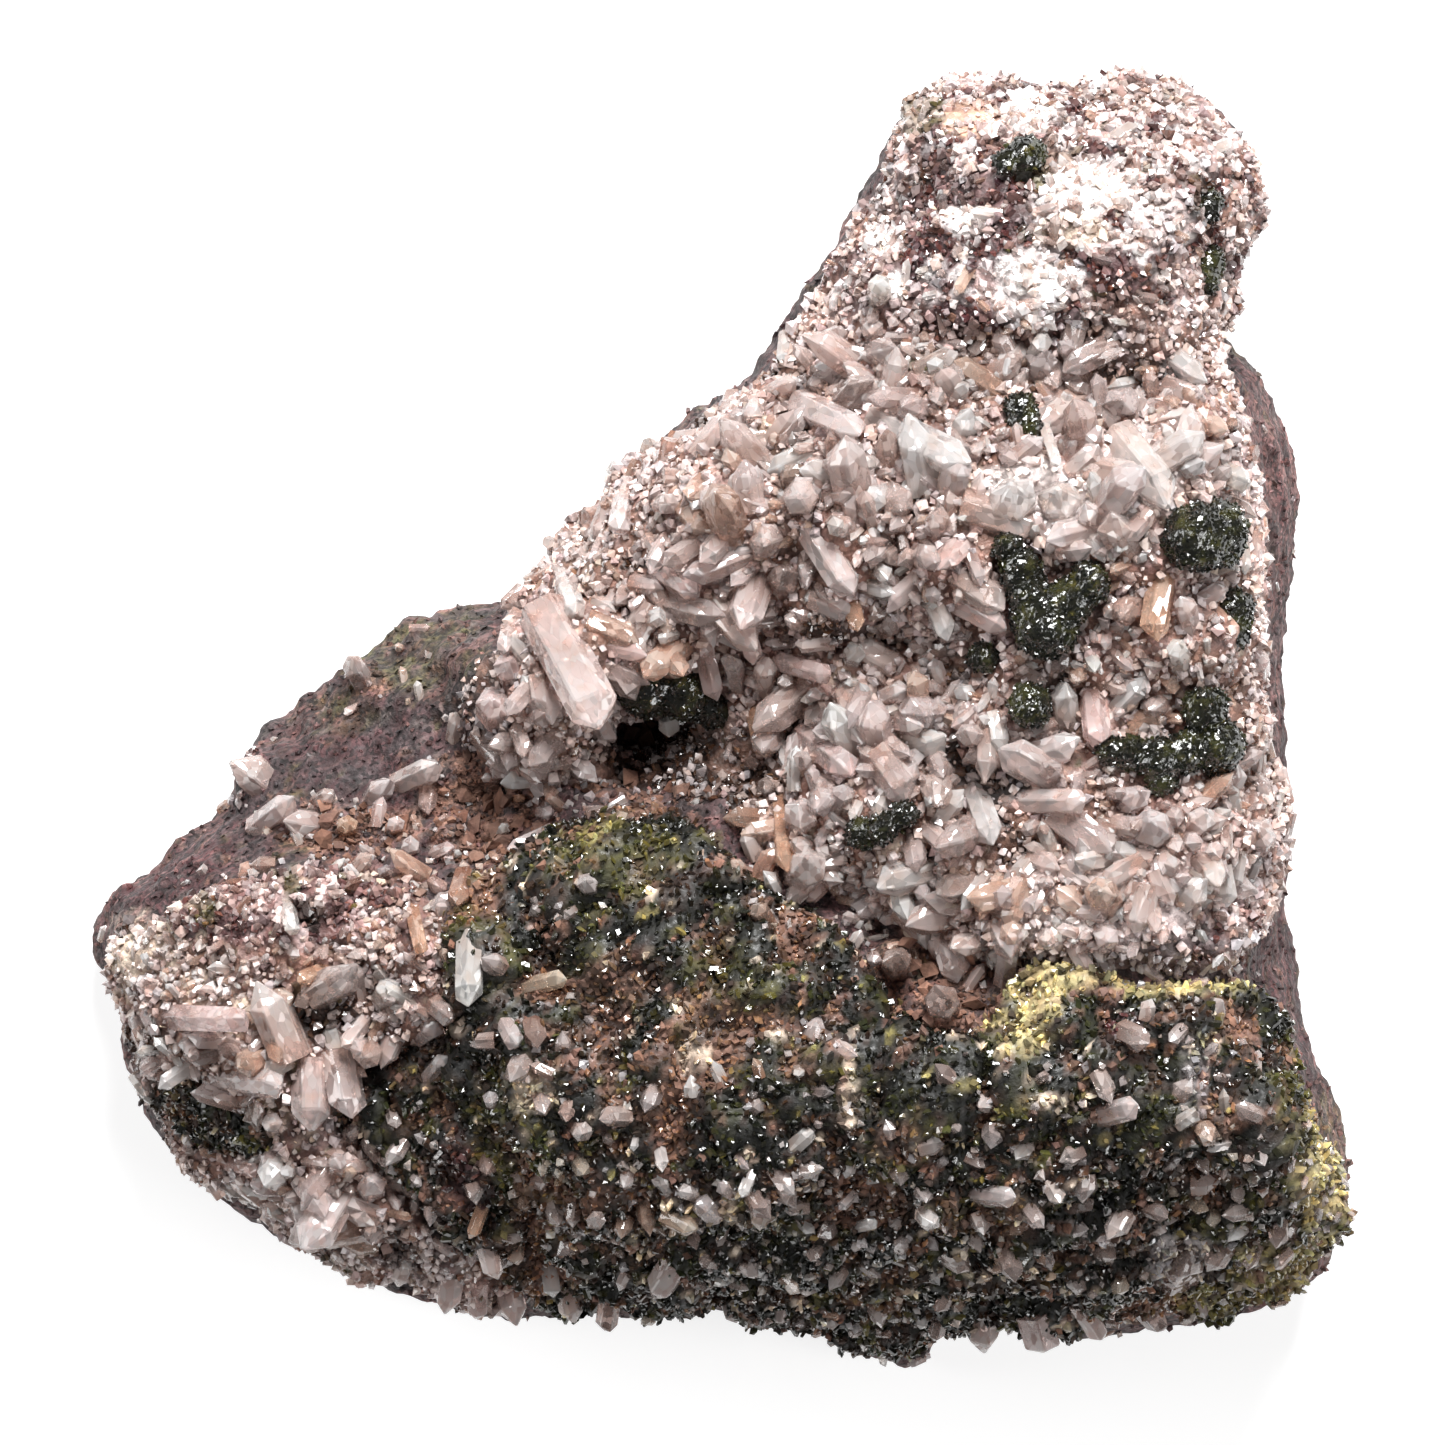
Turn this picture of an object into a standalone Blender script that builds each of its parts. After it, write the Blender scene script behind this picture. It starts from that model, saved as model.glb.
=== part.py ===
"""An epidote and quartz specimen on its rock matrix, lying on its cut back.

Every place on the specimen is given in face millimetres: x runs to the right and y runs down the face,
as a collector would measure it on the specimen. place() turns them into the scene's metres.
"""

import math
import random

import bmesh
import bpy
import numpy as np
from mathutils import Matrix, Vector
from mathutils.bvhtree import BVHTree
from mathutils.geometry import delaunay_2d_cdt

MM = 0.001
FACE_CENTRE = (72.0, 72.2)
FACE_SPAN = 150.0

# The gaps that part the nodes: from the rock, between two crusts, and under the epidote balls
ROCK_GAP = 0.33
CRUST_GAP = 0.3
SEAT_GAP = 0.36

# The rock
GRID_STEP = 6.8
GRID_SHAKE = 0.16
CLEAR_OF_LINES = 2.4
CLEAR_OF_RIM = 1.92
SAME_POINT = 1e-5
RIM_RADIUS = 8.0
RIM_LOOP = 1.9
EDGE_SHARE = 0.38
EDGE_RANGE = (5.5, 15.5)
WALL_LOOPS = ((0.5, 0.9), (0.0, 3.6))
WALL_UNEVEN = (0.75, 1.25)
ROCK_ROUGHNESS = 0.45
ROCK_HEIGHTS = (7.0, 50.0)
LOOP_SOFTENING = 3

# The crusts
CRUST_EDGE = 1.2
CRUST_FULL = 2.6
CRUST_TAPER = 4.0
CRUST_ROOT = 1.5
CRUST_BUMPS = 0.5
EPIDOTE_BUMPINESS = 1.6
STEEPEST = 1.8

# The outline of the rock, clockwise from the top left of the head
OUTLINE = [
    (98.3, 7.2), (101.6, 6.9), (105.0, 7.7), (108.0, 7.9), (110.5, 7.2), (113.2, 6.4), (116.0, 6.8),
    (118.5, 7.5), (120.4, 8.6), (122.2, 10.0), (124.0, 12.2), (125.5, 14.5), (126.4, 17.0), (126.4, 19.6),
    (126.0, 22.4), (125.0, 25.4), (124.0, 28.2), (123.0, 30.8), (122.7, 33.2), (124.3, 35.0),
    (126.2, 36.8), (127.8, 39.5), (129.2, 42.8), (130.3, 46.2), (130.6, 50.0),
    (129.7, 58.8), (128.8, 62.4), (128.8, 66.2), (129.2, 74.6),
    (129.4, 83.0), (129.2, 87.2), (130.0, 95.2), (131.2, 103.0),
    (132.2, 106.4), (133.8, 109.6), (135.0, 113.0), (135.7, 116.6), (135.3, 120.4), (134.5, 124.0),
    (133.5, 127.4), (131.2, 129.5), (128.8, 130.7), (126.0, 132.1), (122.5, 132.6), (118.5, 133.6),
    (115.0, 134.2), (108.0, 134.9), (105.0, 133.2), (100.4, 132.3), (96.4, 133.4),
    (94.0, 135.0), (92.6, 137.2), (91.0, 138.0), (89.0, 137.5), (86.8, 136.4), (84.4, 134.9),
    (78.0, 132.9), (70.4, 131.3), (67.2, 131.2), (64.3, 132.4),
    (57.8, 132.0), (50.0, 132.5), (42.2, 130.9),
    (38.8, 130.1), (36.2, 128.7), (33.4, 127.4), (27.2, 124.4), (24.0, 122.2),
    (21.2, 120.6), (18.6, 118.4), (16.4, 115.9), (14.6, 113.8), (13.2, 110.6), (12.1, 107.2),
    (11.4, 104.0), (10.9, 100.8), (10.0, 98.0), (8.8, 96.0), (8.3, 93.8), (9.1, 91.3), (10.6, 89.2),
    (13.2, 88.1), (15.6, 86.7), (17.0, 84.4), (19.8, 83.1), (21.6, 81.2), (22.6, 78.4), (22.5, 75.8),
    (24.0, 73.1), (27.4, 71.9), (30.2, 69.9), (33.0, 68.6), (35.2, 66.4), (37.8, 64.2), (40.6, 62.2),
    (43.8, 61.6), (46.6, 60.5), (49.8, 60.2), (52.4, 59.0), (54.2, 56.8), (56.0, 54.4), (57.6, 51.9),
    (60.0, 50.0), (64.6, 45.2), (69.4, 41.1), (72.2, 39.6), (74.9, 37.9),
    (76.4, 35.2), (80.2, 30.0), (84.0, 24.0), (87.0, 18.0),
    (88.4, 15.6), (89.4, 13.4), (91.2, 11.0), (93.4, 9.2), (95.8, 8.0),
]

# Heights of the rock under its crusts, as (x, y, z): the head, the middle, the lip and the cavity
SPOT_HEIGHTS = [
    (112, 12, 30), (110, 20, 42), (100, 27, 43), (118, 18, 40), (95, 15, 36), (90, 20, 36), (86, 24, 33),
    (100, 33, 42), (110, 33, 43), (120, 30, 38), (107, 38, 36), (118, 37, 42), (122, 40, 40),
    (110, 45, 45), (120, 50, 44), (125, 50, 36), (128, 50, 26), (100, 45, 46), (105, 60, 45),
    (115, 60, 45), (122, 65, 42), (126, 70, 32), (100, 55, 46), (90, 45, 43), (80, 45, 40), (76, 42, 36),
    (70, 50, 38), (65, 50, 35), (62, 52, 28), (75, 55, 41), (85, 55, 45), (95, 60, 45),
    (85, 64, 38), (95, 64, 39), (75, 63, 35), (70, 68, 30), (64, 74, 20), (68, 76, 24), (60, 72, 28),
]

# The shelf and the ridge of the left side
SPOT_HEIGHTS += [
    (57, 62, 38), (52, 63, 33), (50, 67, 30), (47, 68, 27), (45, 76, 24), (50, 78, 25), (50, 84, 26),
    (42, 80, 24), (35, 83, 22), (30, 82, 20), (50, 61, 16), (45, 65, 18), (40, 68, 18), (35, 70, 17),
    (30, 73, 16), (25, 76, 15), (28, 77, 17), (45, 72, 21), (35, 88, 29), (25, 88, 27), (15, 90, 20),
    (11, 92, 17), (42, 88, 30), (30, 93, 31), (20, 95, 27), (13, 96, 20), (40, 94, 33), (30, 100, 30),
    (20, 103, 26), (13, 104, 17), (35, 103, 29), (16, 110, 18), (25, 110, 26), (35, 110, 28),
    (30, 118, 22), (22, 116, 18), (40, 120, 24), (33, 123, 17), (45, 127, 18),
]

# The broad bulge under the epidote, with the pit at its top left
SPOT_HEIGHTS += [
    (50, 90, 35), (57, 88, 38), (65, 85, 38), (62, 82, 34), (72, 88, 39), (58, 95, 36), (57, 93, 33),
    (68, 95, 41), (78, 93, 42), (85, 97, 43), (80, 103, 45), (70, 103, 43), (60, 103, 40), (50, 100, 37),
    (48, 110, 33), (40, 108, 27), (55, 112, 38), (65, 113, 41), (75, 113, 43), (85, 110, 45),
    (95, 106, 46), (105, 107, 47), (115, 108, 46), (125, 107, 42), (120, 103, 44), (110, 100, 44),
    (125, 100, 38), (128, 106, 36), (129, 112, 38),
]

# The recess above the bulge and the quartz slope on the right
SPOT_HEIGHTS += [
    (90, 97, 38), (94, 99, 38), (88, 90, 37), (80, 85, 36), (76, 80, 34), (70, 78, 32), (60, 78, 28),
    (100, 70, 44), (110, 70, 42), (118, 72, 41), (100, 80, 44), (110, 83, 43), (120, 80, 42),
    (95, 75, 42), (85, 72, 38), (80, 72, 34), (85, 80, 40), (88, 85, 40), (100, 90, 44), (112, 90, 44),
    (122, 90, 40), (105, 95, 43), (117, 95, 43), (127, 90, 32), (128, 95, 30),
]

# The slope down to the bottom edge
SPOT_HEIGHTS += [
    (130, 118, 36), (133, 116, 26), (131, 125, 28), (125, 120, 36), (120, 118, 38), (110, 118, 40),
    (100, 118, 40), (90, 118, 40), (80, 120, 38), (70, 120, 36), (60, 120, 34), (50, 120, 28),
    (50, 127, 20), (60, 127, 24), (70, 127, 26), (80, 127, 28), (90, 128, 28), (91, 134, 18),
    (100, 127, 30), (110, 127, 30), (118, 127, 28), (124, 128, 22),
]

# Where each crust lies on the rock
MAIN_QUARTZ = [
    (92, 11), (98, 8.5), (105, 9.1), (113, 7.8), (119, 9.2), (124.2, 15), (124.8, 21), (122.6, 28),
    (121.2, 33), (122, 38), (124, 45), (125.5, 52), (126, 60), (126, 68), (127, 76), (127.6, 82),
    (127.3, 88), (126, 93), (122, 96), (116, 96), (108, 95.5), (103, 95), (97, 94), (91, 92), (86, 88),
    (80, 87), (76, 84), (74, 81), (72, 79), (66, 78.5), (60, 77.5), (55, 78), (52, 76), (47, 74),
    (46.5, 71), (48, 67), (50.5, 65), (52.4, 61.4), (55, 58), (58, 53.5), (63, 48.2), (68, 43.8),
    (73, 40.8), (77.4, 38), (79.6, 34.4), (82.4, 30), (85.6, 25), (88.2, 20), (90.2, 15),
]
CAVITY_CENTRE = (64.5, 73.5)
CAVITY_RADII = (5.0, 3.0)
CAVITY_SIDES = 9
LEFT_QUARTZ = [
    (11.5, 94), (20, 90), (30, 87.7), (41, 88), (43.6, 93), (44.6, 99), (42.6, 103.6), (36, 104.7),
    (32.6, 108), (33.6, 113), (37.6, 118), (41.6, 121.4), (46.4, 125.2), (50.2, 129.2), (49.4, 131),
    (42, 129), (34, 126), (26, 121.5), (19, 116.5), (14.7, 110), (12.7, 104), (11.9, 99),
]
LEFT_PATCH_HOLE = [
    (15.7, 108.4), (18.4, 107.9), (21, 108.3), (24, 110.7), (28, 111.8), (28.7, 115.1), (23, 115.8),
    (18, 113.7),
]
LEFT_PATCH = [
    (16.3, 108.9), (18.4, 108.5), (20.8, 108.9), (23.8, 111.3), (27.4, 112.4), (28.0, 114.6),
    (23.1, 115.2), (18.5, 113.2),
]
MAIN_EPIDOTE = [
    (44.7, 91), (47, 88.5), (51, 87), (55, 84), (58, 82.5), (63, 81.5), (67, 82), (71, 85), (75, 88.4),
    (79, 91), (83, 93.2), (86, 97), (89, 101), (93, 104), (98, 104.5), (101, 99), (104, 97), (109, 97.7),
    (114, 99.5), (119, 99.5), (124, 99), (127, 102), (129, 108), (130.6, 113), (133.2, 117),
    (133, 122.5), (130, 127.4), (124, 130.3), (118, 131.4), (108, 132.4), (100, 130.8), (95, 132.6),
    (91.2, 135.8), (86, 134), (80, 131.3), (72, 130.3), (64, 130.5), (56, 130.4), (52, 128.6),
    (48, 124.3), (43.2, 120.4), (39.4, 117), (35.4, 112.4), (34.4, 108), (37, 106), (44, 104.9),
    (46, 99), (45.1, 94),
]

# Quartz crystals of the main druse, as (base x, base y, tip x, tip y, width, height of the tip)
MAIN_CRYSTALS = [
    (53.5, 60.0, 60.0, 71.0, 4.8, 4.0), (59.0, 70.5, 60.8, 73.6, 3.0, 5.0),
    (56.0, 57.8, 57.2, 61.2, 2.8, 3.0),
    (65.0, 56.5, 70.0, 59.5, 2.8, 3.0), (71.5, 56.8, 71.2, 56.2, 3.4, 4.0),
    (78.5, 57.8, 78.2, 57.2, 3.8, 4.0),
    (81.0, 53.0, 85.0, 59.5, 3.6, 4.0), (96.5, 54.0, 93.5, 57.4, 3.0, 3.0),
    (94.6, 60.0, 99.2, 62.6, 3.0, 2.5),
    (70.0, 63.0, 71.5, 70.0, 2.8, 4.0), (76.0, 65.5, 83.0, 67.5, 2.8, 3.5),
    (80.5, 73.5, 85.0, 77.0, 3.2, 3.0),
    (80.2, 82.0, 79.9, 81.2, 3.8, 4.5), (78.0, 80.0, 78.6, 85.4, 3.0, 3.5),
    (49.8, 70.6, 49.4, 69.6, 5.0, 3.2),
    (80.0, 40.5, 86.0, 43.5, 3.6, 3.0), (87.5, 42.5, 96.5, 46.5, 4.0, 4.0),
    (100.8, 49.4, 101.4, 50.6, 5.6, 4.5),
    (106.0, 49.2, 105.6, 50.4, 5.2, 4.0), (111.5, 44.0, 116.5, 50.5, 5.0, 3.5),
    (105.4, 40.0, 106.2, 46.5, 1.8, 4.0),
    (116.0, 57.8, 114.8, 64.0, 3.4, 3.5), (116.5, 35.5, 119.6, 38.4, 3.2, 3.5),
    (110.5, 14.5, 113.5, 12.2, 2.8, 3.0),
    (120.4, 15.8, 122.6, 14.3, 2.6, 3.0), (102.0, 76.0, 107.4, 74.4, 4.0, 3.0),
    (100.5, 80.4, 108.0, 80.4, 3.0, 3.0),
    (96.8, 79.0, 98.4, 84.0, 3.2, 3.0), (112.6, 80.6, 112.5, 81.2, 3.4, 3.5),
    (125.2, 83.2, 125.1, 83.6, 4.2, 3.2),
    (108.4, 68.4, 108.8, 72.6, 3.2, 3.0), (124.4, 66.8, 124.3, 67.3, 4.6, 3.0),
]
LEFT_CRYSTALS = [
    (33.5, 96.3, 29.7, 98.2, 2.4, 3.0), (28.5, 90.4, 29.2, 93.6, 2.2, 4.0),
    (37.2, 99.6, 34.6, 103.2, 2.4, 3.0),
    (39.9, 100.4, 38.4, 103.2, 2.6, 3.0), (40.4, 90.5, 41.4, 94.6, 2.2, 3.0),
    (15.4, 101.8, 24.2, 102.2, 3.4, 2.6),
    (22.6, 105.4, 29.2, 105.8, 3.2, 3.0), (30.6, 107.4, 31.0, 112.2, 3.6, 3.0),
    (35.8, 120.0, 36.2, 120.4, 3.0, 3.0),
    (44.4, 127.8, 44.8, 131.6, 2.6, 3.6), (47.2, 128.8, 47.8, 132.6, 2.4, 3.6),
]

# Quartz crystals that stand in the epidote
EPIDOTE_QUARTZ = [
    (47.8, 94.4, 47.4, 100.2, 3.4, 3.2), (67.5, 126.5, 65.2, 130.0, 3.6, 4.5),
    (54.9, 126.8, 55.3, 130.0, 2.4, 3.2),
    (109.0, 111.5, 113.6, 110.3, 2.8, 3.0), (98.4, 129.6, 98.6, 134.6, 4.0, 5.0),
    (103.4, 130.0, 104.4, 134.8, 3.8, 5.0),
    (118.4, 125.6, 118.8, 127.2, 6.0, 3.0), (121.2, 102.4, 121.6, 101.2, 3.4, 2.6),
    (52.4, 106.6, 54.6, 110.2, 2.8, 2.8),
]

# Quartz crystals on bare rock: the left shelf, the clay pockets and the recess above the bulge
ROCK_CRYSTALS = [
    (25.2, 77.0, 21.8, 76.8, 3.0, 3.0), (35.7, 68.0, 34.2, 65.6, 2.6, 3.0),
    (25.6, 81.8, 28.8, 79.6, 2.8, 3.0),
    (39.5, 78.5, 43.0, 76.6, 2.8, 3.0), (34.6, 82.4, 34.4, 81.8, 2.6, 3.0),
    (89.0, 95.4, 89.4, 96.2, 4.2, 4.0),
    (94.2, 99.8, 94.0, 100.4, 4.0, 4.0), (52.8, 81.0, 50.0, 82.4, 2.4, 3.0),
]

# Epidote balls, each a list of lumps as (x, y, radius)
EPIDOTE_CLUSTERS = [
    [(118.9, 53.7, 3.4), (120.3, 53.7, 3.3)],
    [(100.5, 54.5, 1.7), (102.0, 57.0, 2.2), (103.0, 59.6, 2.4), (104.5, 62.0, 3.5), (107.0, 60.0, 2.3),
     (108.7, 58.2, 2.0)],
    [(122.4, 60.9, 2.3), (121.8, 62.8, 2.3), (123.6, 62.4, 2.2)],
    [(102.5, 70.5, 2.2)],
    [(120.0, 70.5, 2.3), (120.5, 74.3, 2.8), (117.8, 75.2, 2.2), (115.0, 75.8, 2.2), (112.8, 75.4, 1.8),
     (110.9, 75.2, 1.8), (115.8, 78.3, 1.6)],
    [(86.5, 83.0, 1.9), (88.5, 82.4, 1.7), (90.5, 81.5, 1.6)],
    [(101.8, 41.5, 1.9), (102.6, 43.4, 1.6)],
    [(64.2, 68.0, 3.0), (68.6, 68.0, 3.0), (72.0, 70.4, 2.1)],
    [(120.2, 25.8, 1.9), (119.8, 28.2, 1.8)],
    [(120.0, 20.5, 1.8)],
    [(102.5, 16.5, 2.1), (100.6, 16.9, 1.6)],
    [(98.5, 66.0, 1.7)],
]
BALL_SHARE_OUT = 0.35
BALL_ROUGHNESS = 0.06
FINE_BALL_RADIUS = 1.95
CLEAR_OF_BALLS = 3.2

# How deep a crystal's foot goes into what it stands on
CRYSTAL_ROOT = 0.9
ROCK_ROOT = 2.0

# The form of a crystal, as shares of its radius or length
POINT_HEIGHT = 1.15
LONGEST_POINT = 0.45
FOOT_FLARE = 1.03
SHOULDER_TAPER = 0.93
TIP_OFFSET = (0.16, 0.08)

# Random places: how many are tried, how near the edge they come, and how clear they stay of named crystals
SCATTER_TRIES = 2500
SCATTER_EDGE = 0.3
CRYSTAL_CLEARANCE = 1.7
CLEARED_SHARES = (0.15, 0.55, 0.95)

# Small crystals and lumps that fill the crusts between the larger ones
SMALL_SPACING = 9.4
SMALL_WIDTHS = (3.0, 4.8)
SMALL_LENGTHS = (5.0, 7.5)
SMALL_UPRIGHT = 0.6
SMALL_LEANS = (0.24, 1.2)
LUMP_SPACING = 10.2
LUMP_RADII = (2.2, 3.8)
LUMP_ROUGHNESS = 0.16
LUMP_SUNK = 0.1
CRUMB_SPACING = 7.0
CRUMB_SIZES = (2.0, 3.6)
CLAY_POCKETS = [
    [(44.5, 77.5), (50, 79), (52, 83), (49, 86), (43, 86.5), (40, 84)],
    [(29, 80), (35, 78), (39, 80.5), (40, 86), (32, 86)],
    [(87.5, 93.0), (92, 94.2), (98, 96.5), (98.5, 102.5), (93, 102.2), (89.4, 98)],
]

ROCK = ("rock", (0.30, 0.19, 0.19), 0.9)
QUARTZ = ("quartz", (0.78, 0.66, 0.64), 0.15)
EPIDOTE = ("epidote", (0.035, 0.045, 0.028), 0.3)


def place(x, y, z):
    """Face millimetres to the scene's metres: the middle of the face is the origin and up is +Z."""
    return Vector(((x - FACE_CENTRE[0]) * MM, (FACE_CENTRE[1] - y) * MM, z * MM))


def clear_scene():
    for old in list(bpy.data.objects):
        bpy.data.objects.remove(old)


def collection(name, helpers=False):
    made = bpy.data.collections.new(name)
    bpy.context.scene.collection.children.link(made)
    made.hide_render = helpers
    return made


def material(name, colour, roughness, metallic=0.0):
    made = bpy.data.materials.new(name)
    made.use_nodes = True
    shader = made.node_tree.nodes["Principled BSDF"]
    shader.inputs["Base Color"].default_value = (*colour, 1.0)
    shader.inputs["Roughness"].default_value = roughness
    shader.inputs["Metallic"].default_value = metallic
    made.diffuse_color = (*colour, 1.0)
    return made


def object_from(name, mesh_data, group):
    """A new object holding what is in a bmesh, which is freed."""
    mesh = bpy.data.meshes.new(name)
    mesh_data.to_mesh(mesh)
    mesh_data.free()
    made = bpy.data.objects.new(name, mesh)
    group.objects.link(made)
    return made


def segment_distance(points, loop):
    """The distance of each point from a closed loop of straight edges."""
    starts = np.array(loop, float)
    steps = np.roll(starts, -1, axis=0) - starts
    from_start = points[:, None, :] - starts[None, :, :]
    along = np.clip((from_start * steps).sum(axis=2) / (steps * steps).sum(axis=1), 0.0, 1.0)
    off = from_start - along[:, :, None] * steps
    return np.sqrt((off * off).sum(axis=2)).min(axis=1)


def inside(points, loop):
    """Which points lie inside a closed loop."""
    starts = np.array(loop, float)
    ends = np.roll(starts, -1, axis=0)
    x = points[:, 0][:, None]
    y = points[:, 1][:, None]
    crosses = (starts[:, 1] > y) != (ends[:, 1] > y)
    rise = np.where(ends[:, 1] == starts[:, 1], 1.0, ends[:, 1] - starts[:, 1])
    reach = starts[:, 0] + (y - starts[:, 1]) / rise * (ends[:, 0] - starts[:, 0])
    return (crosses & (x < reach)).sum(axis=1) % 2 == 1


def inset_loop(loop, depth):
    """A loop moved inwards, with its corners softened so that it doesn't cross itself."""
    points = np.array(loop, float)
    tangents = np.roll(points, -1, axis=0) - np.roll(points, 1, axis=0)
    inward = np.stack([-tangents[:, 1], tangents[:, 0]], axis=1)
    inward /= np.linalg.norm(inward, axis=1)[:, None]
    for _ in range(LOOP_SOFTENING):
        inward = (np.roll(inward, 1, axis=0) + 2 * inward + np.roll(inward, -1, axis=0)) / 4
    return points + inward * depth


class Relief:
    """A thin-plate surface through the spot heights of the rock, rounded off at the outline."""

    def __init__(self):
        spots = np.array(SPOT_HEIGHTS, float)
        self.spots = spots[:, :2]
        count = len(spots)
        plane = np.hstack([np.ones((count, 1)), self.spots])
        system = np.zeros((count + 3, count + 3))
        system[:count, :count] = self.kernel(self.spots)
        system[:count, count:] = plane
        system[count:, :count] = plane.T
        self.weights = np.linalg.solve(system, np.concatenate([spots[:, 2], np.zeros(3)]))

    def kernel(self, points):
        apart = np.linalg.norm(points[:, None, :] - self.spots[None, :, :], axis=2)
        return apart * apart * np.log(np.maximum(apart, SAME_POINT))

    def broad(self, points):
        plane = np.hstack([np.ones((len(points), 1)), points])
        heights = self.kernel(points) @ self.weights[:-3] + plane @ self.weights[-3:]
        return np.clip(heights, *ROCK_HEIGHTS)

    def edge(self, points):
        """The height at which the rock is widest."""
        return np.clip(self.broad(points) * EDGE_SHARE, *EDGE_RANGE)

    def heights(self, points):
        points = np.array(points, float)
        depth = np.minimum(segment_distance(points, OUTLINE) / RIM_RADIUS, 1.0)
        low = self.edge(points)
        return low + (self.broad(points) - low) * np.sqrt(1 - (1 - depth) ** 2)


def ellipse(centre, radii, sides):
    turns = [2 * math.pi * k / sides for k in range(sides)]
    return [(centre[0] + radii[0] * math.cos(t), centre[1] + radii[1] * math.sin(t)) for t in turns]


def hexagonal_grid(dice):
    """Points on a shaken hexagonal grid over the face."""
    points = []
    row_step = GRID_STEP * math.sqrt(3) / 2
    shake = GRID_STEP * GRID_SHAKE
    for row in range(math.ceil(FACE_SPAN / row_step)):
        for column in range(math.ceil(FACE_SPAN / GRID_STEP)):
            x = (column + 0.5 * (row % 2)) * GRID_STEP
            y = row * row_step
            points.append((x + dice.uniform(-shake, shake), y + dice.uniform(-shake, shake)))
    return points


def face_net(dice):
    """The triangles of the rock's face, with the crusts' edges among their edges."""
    loops = [OUTLINE, MAIN_QUARTZ, CAVITY, LEFT_QUARTZ, LEFT_PATCH_HOLE, LEFT_PATCH, MAIN_EPIDOTE]
    loose = [tuple(p) for p in inset_loop(OUTLINE, RIM_LOOP)[::2]]
    rim_count = len(loose)
    loose += hexagonal_grid(dice)
    spots = np.array(loose)
    clear = inside(spots, OUTLINE)
    for loop in loops[1:]:
        clear &= segment_distance(spots, loop) > CLEAR_OF_LINES
    clear[rim_count:] &= segment_distance(spots[rim_count:], OUTLINE) > RIM_LOOP + CLEAR_OF_RIM
    points = [p for loop in loops for p in loop] + [p for p, keep in zip(loose, clear) if keep]
    edges = []
    start = 0
    for loop in loops:
        edges += [(start + k, start + (k + 1) % len(loop)) for k in range(len(loop))]
        start += len(loop)
    found = delaunay_2d_cdt([Vector(p) for p in points], edges, [], 0, SAME_POINT)
    net = np.array([tuple(p) for p in found[0]])
    triangles = np.array(found[2])
    middles = net[triangles].mean(axis=1)
    triangles = triangles[inside(middles, OUTLINE)]
    rim = {source: index for index, sources in enumerate(found[3]) for source in sources}
    return net, triangles, [rim[k] for k in range(len(OUTLINE))]


def rock_mesh(net, triangles, rim, heights, dice):
    """The rock: its face, a wall that tucks in below the widest line, and the flat cut back."""
    shape = bmesh.new()
    corners = [shape.verts.new(place(*p, z)) for p, z in zip(net, heights)]
    for triangle in triangles:
        shape.faces.new([corners[k] for k in triangle])
    upper = [corners[k] for k in rim]
    edge_heights = heights[rim]
    for share, depth in WALL_LOOPS:
        points = inset_loop(OUTLINE, depth)
        levels = [z * share * dice.uniform(*WALL_UNEVEN) for z in edge_heights]
        lower = [shape.verts.new(place(*p, z)) for p, z in zip(points, levels)]
        for k in range(len(rim)):
            after = (k + 1) % len(rim)
            shape.faces.new((upper[k], upper[after], lower[after], lower[k]))
        upper = lower
    shape.faces.new(upper)
    bmesh.ops.recalc_face_normals(shape, faces=shape.faces)
    return shape


def swollen(shape, by):
    """A copy of a closed bmesh with every face moved out by the same distance, in millimetres."""
    copy = shape.copy()
    copy.normal_update()
    moves = [vert.normal * min(vert.calc_shell_factor(), STEEPEST) for vert in copy.verts]
    for vert, move in zip(copy.verts, moves):
        vert.co += move * by * MM
    return copy


def slope_factor(shape, count):
    """How much thicker a layer is when measured upright, at each of the face's points."""
    shape.verts.ensure_lookup_table()
    shape.normal_update()
    return np.array([1 / max(shape.verts[k].normal.z, 1 / STEEPEST) for k in range(count)])


def crust_heights(net, heights, steepness, loop, bumps, holes=()):
    """The top of a crust at every point of the net, thin at its edges."""
    depth = segment_distance(net, loop)
    for hole in holes:
        depth = np.minimum(depth, segment_distance(net, hole))
    share = np.clip(depth / CRUST_TAPER, 0.0, 1.0)
    thickness = CRUST_EDGE + (CRUST_FULL - CRUST_EDGE) * share + bumps * share
    return heights + thickness * steepness


def slab(net, triangles, tops, bottoms):
    """A closed body between two heights over some triangles of the net."""
    shape = bmesh.new()
    used = sorted(set(triangles.reshape(-1)))
    high = {k: shape.verts.new(place(*net[k], tops[k])) for k in used}
    low = {k: shape.verts.new(place(*net[k], bottoms[k])) for k in used}
    sides = {}
    for a, b, c in triangles:
        shape.faces.new((high[a], high[b], high[c]))
        shape.faces.new((low[c], low[b], low[a]))
        for start, end in ((a, b), (b, c), (c, a)):
            if (end, start) in sides:
                del sides[(end, start)]
            else:
                sides[(start, end)] = True
    for start, end in sides:
        shape.faces.new((high[end], high[start], low[start], low[end]))
    bmesh.ops.recalc_face_normals(shape, faces=shape.faces)
    return shape


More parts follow.
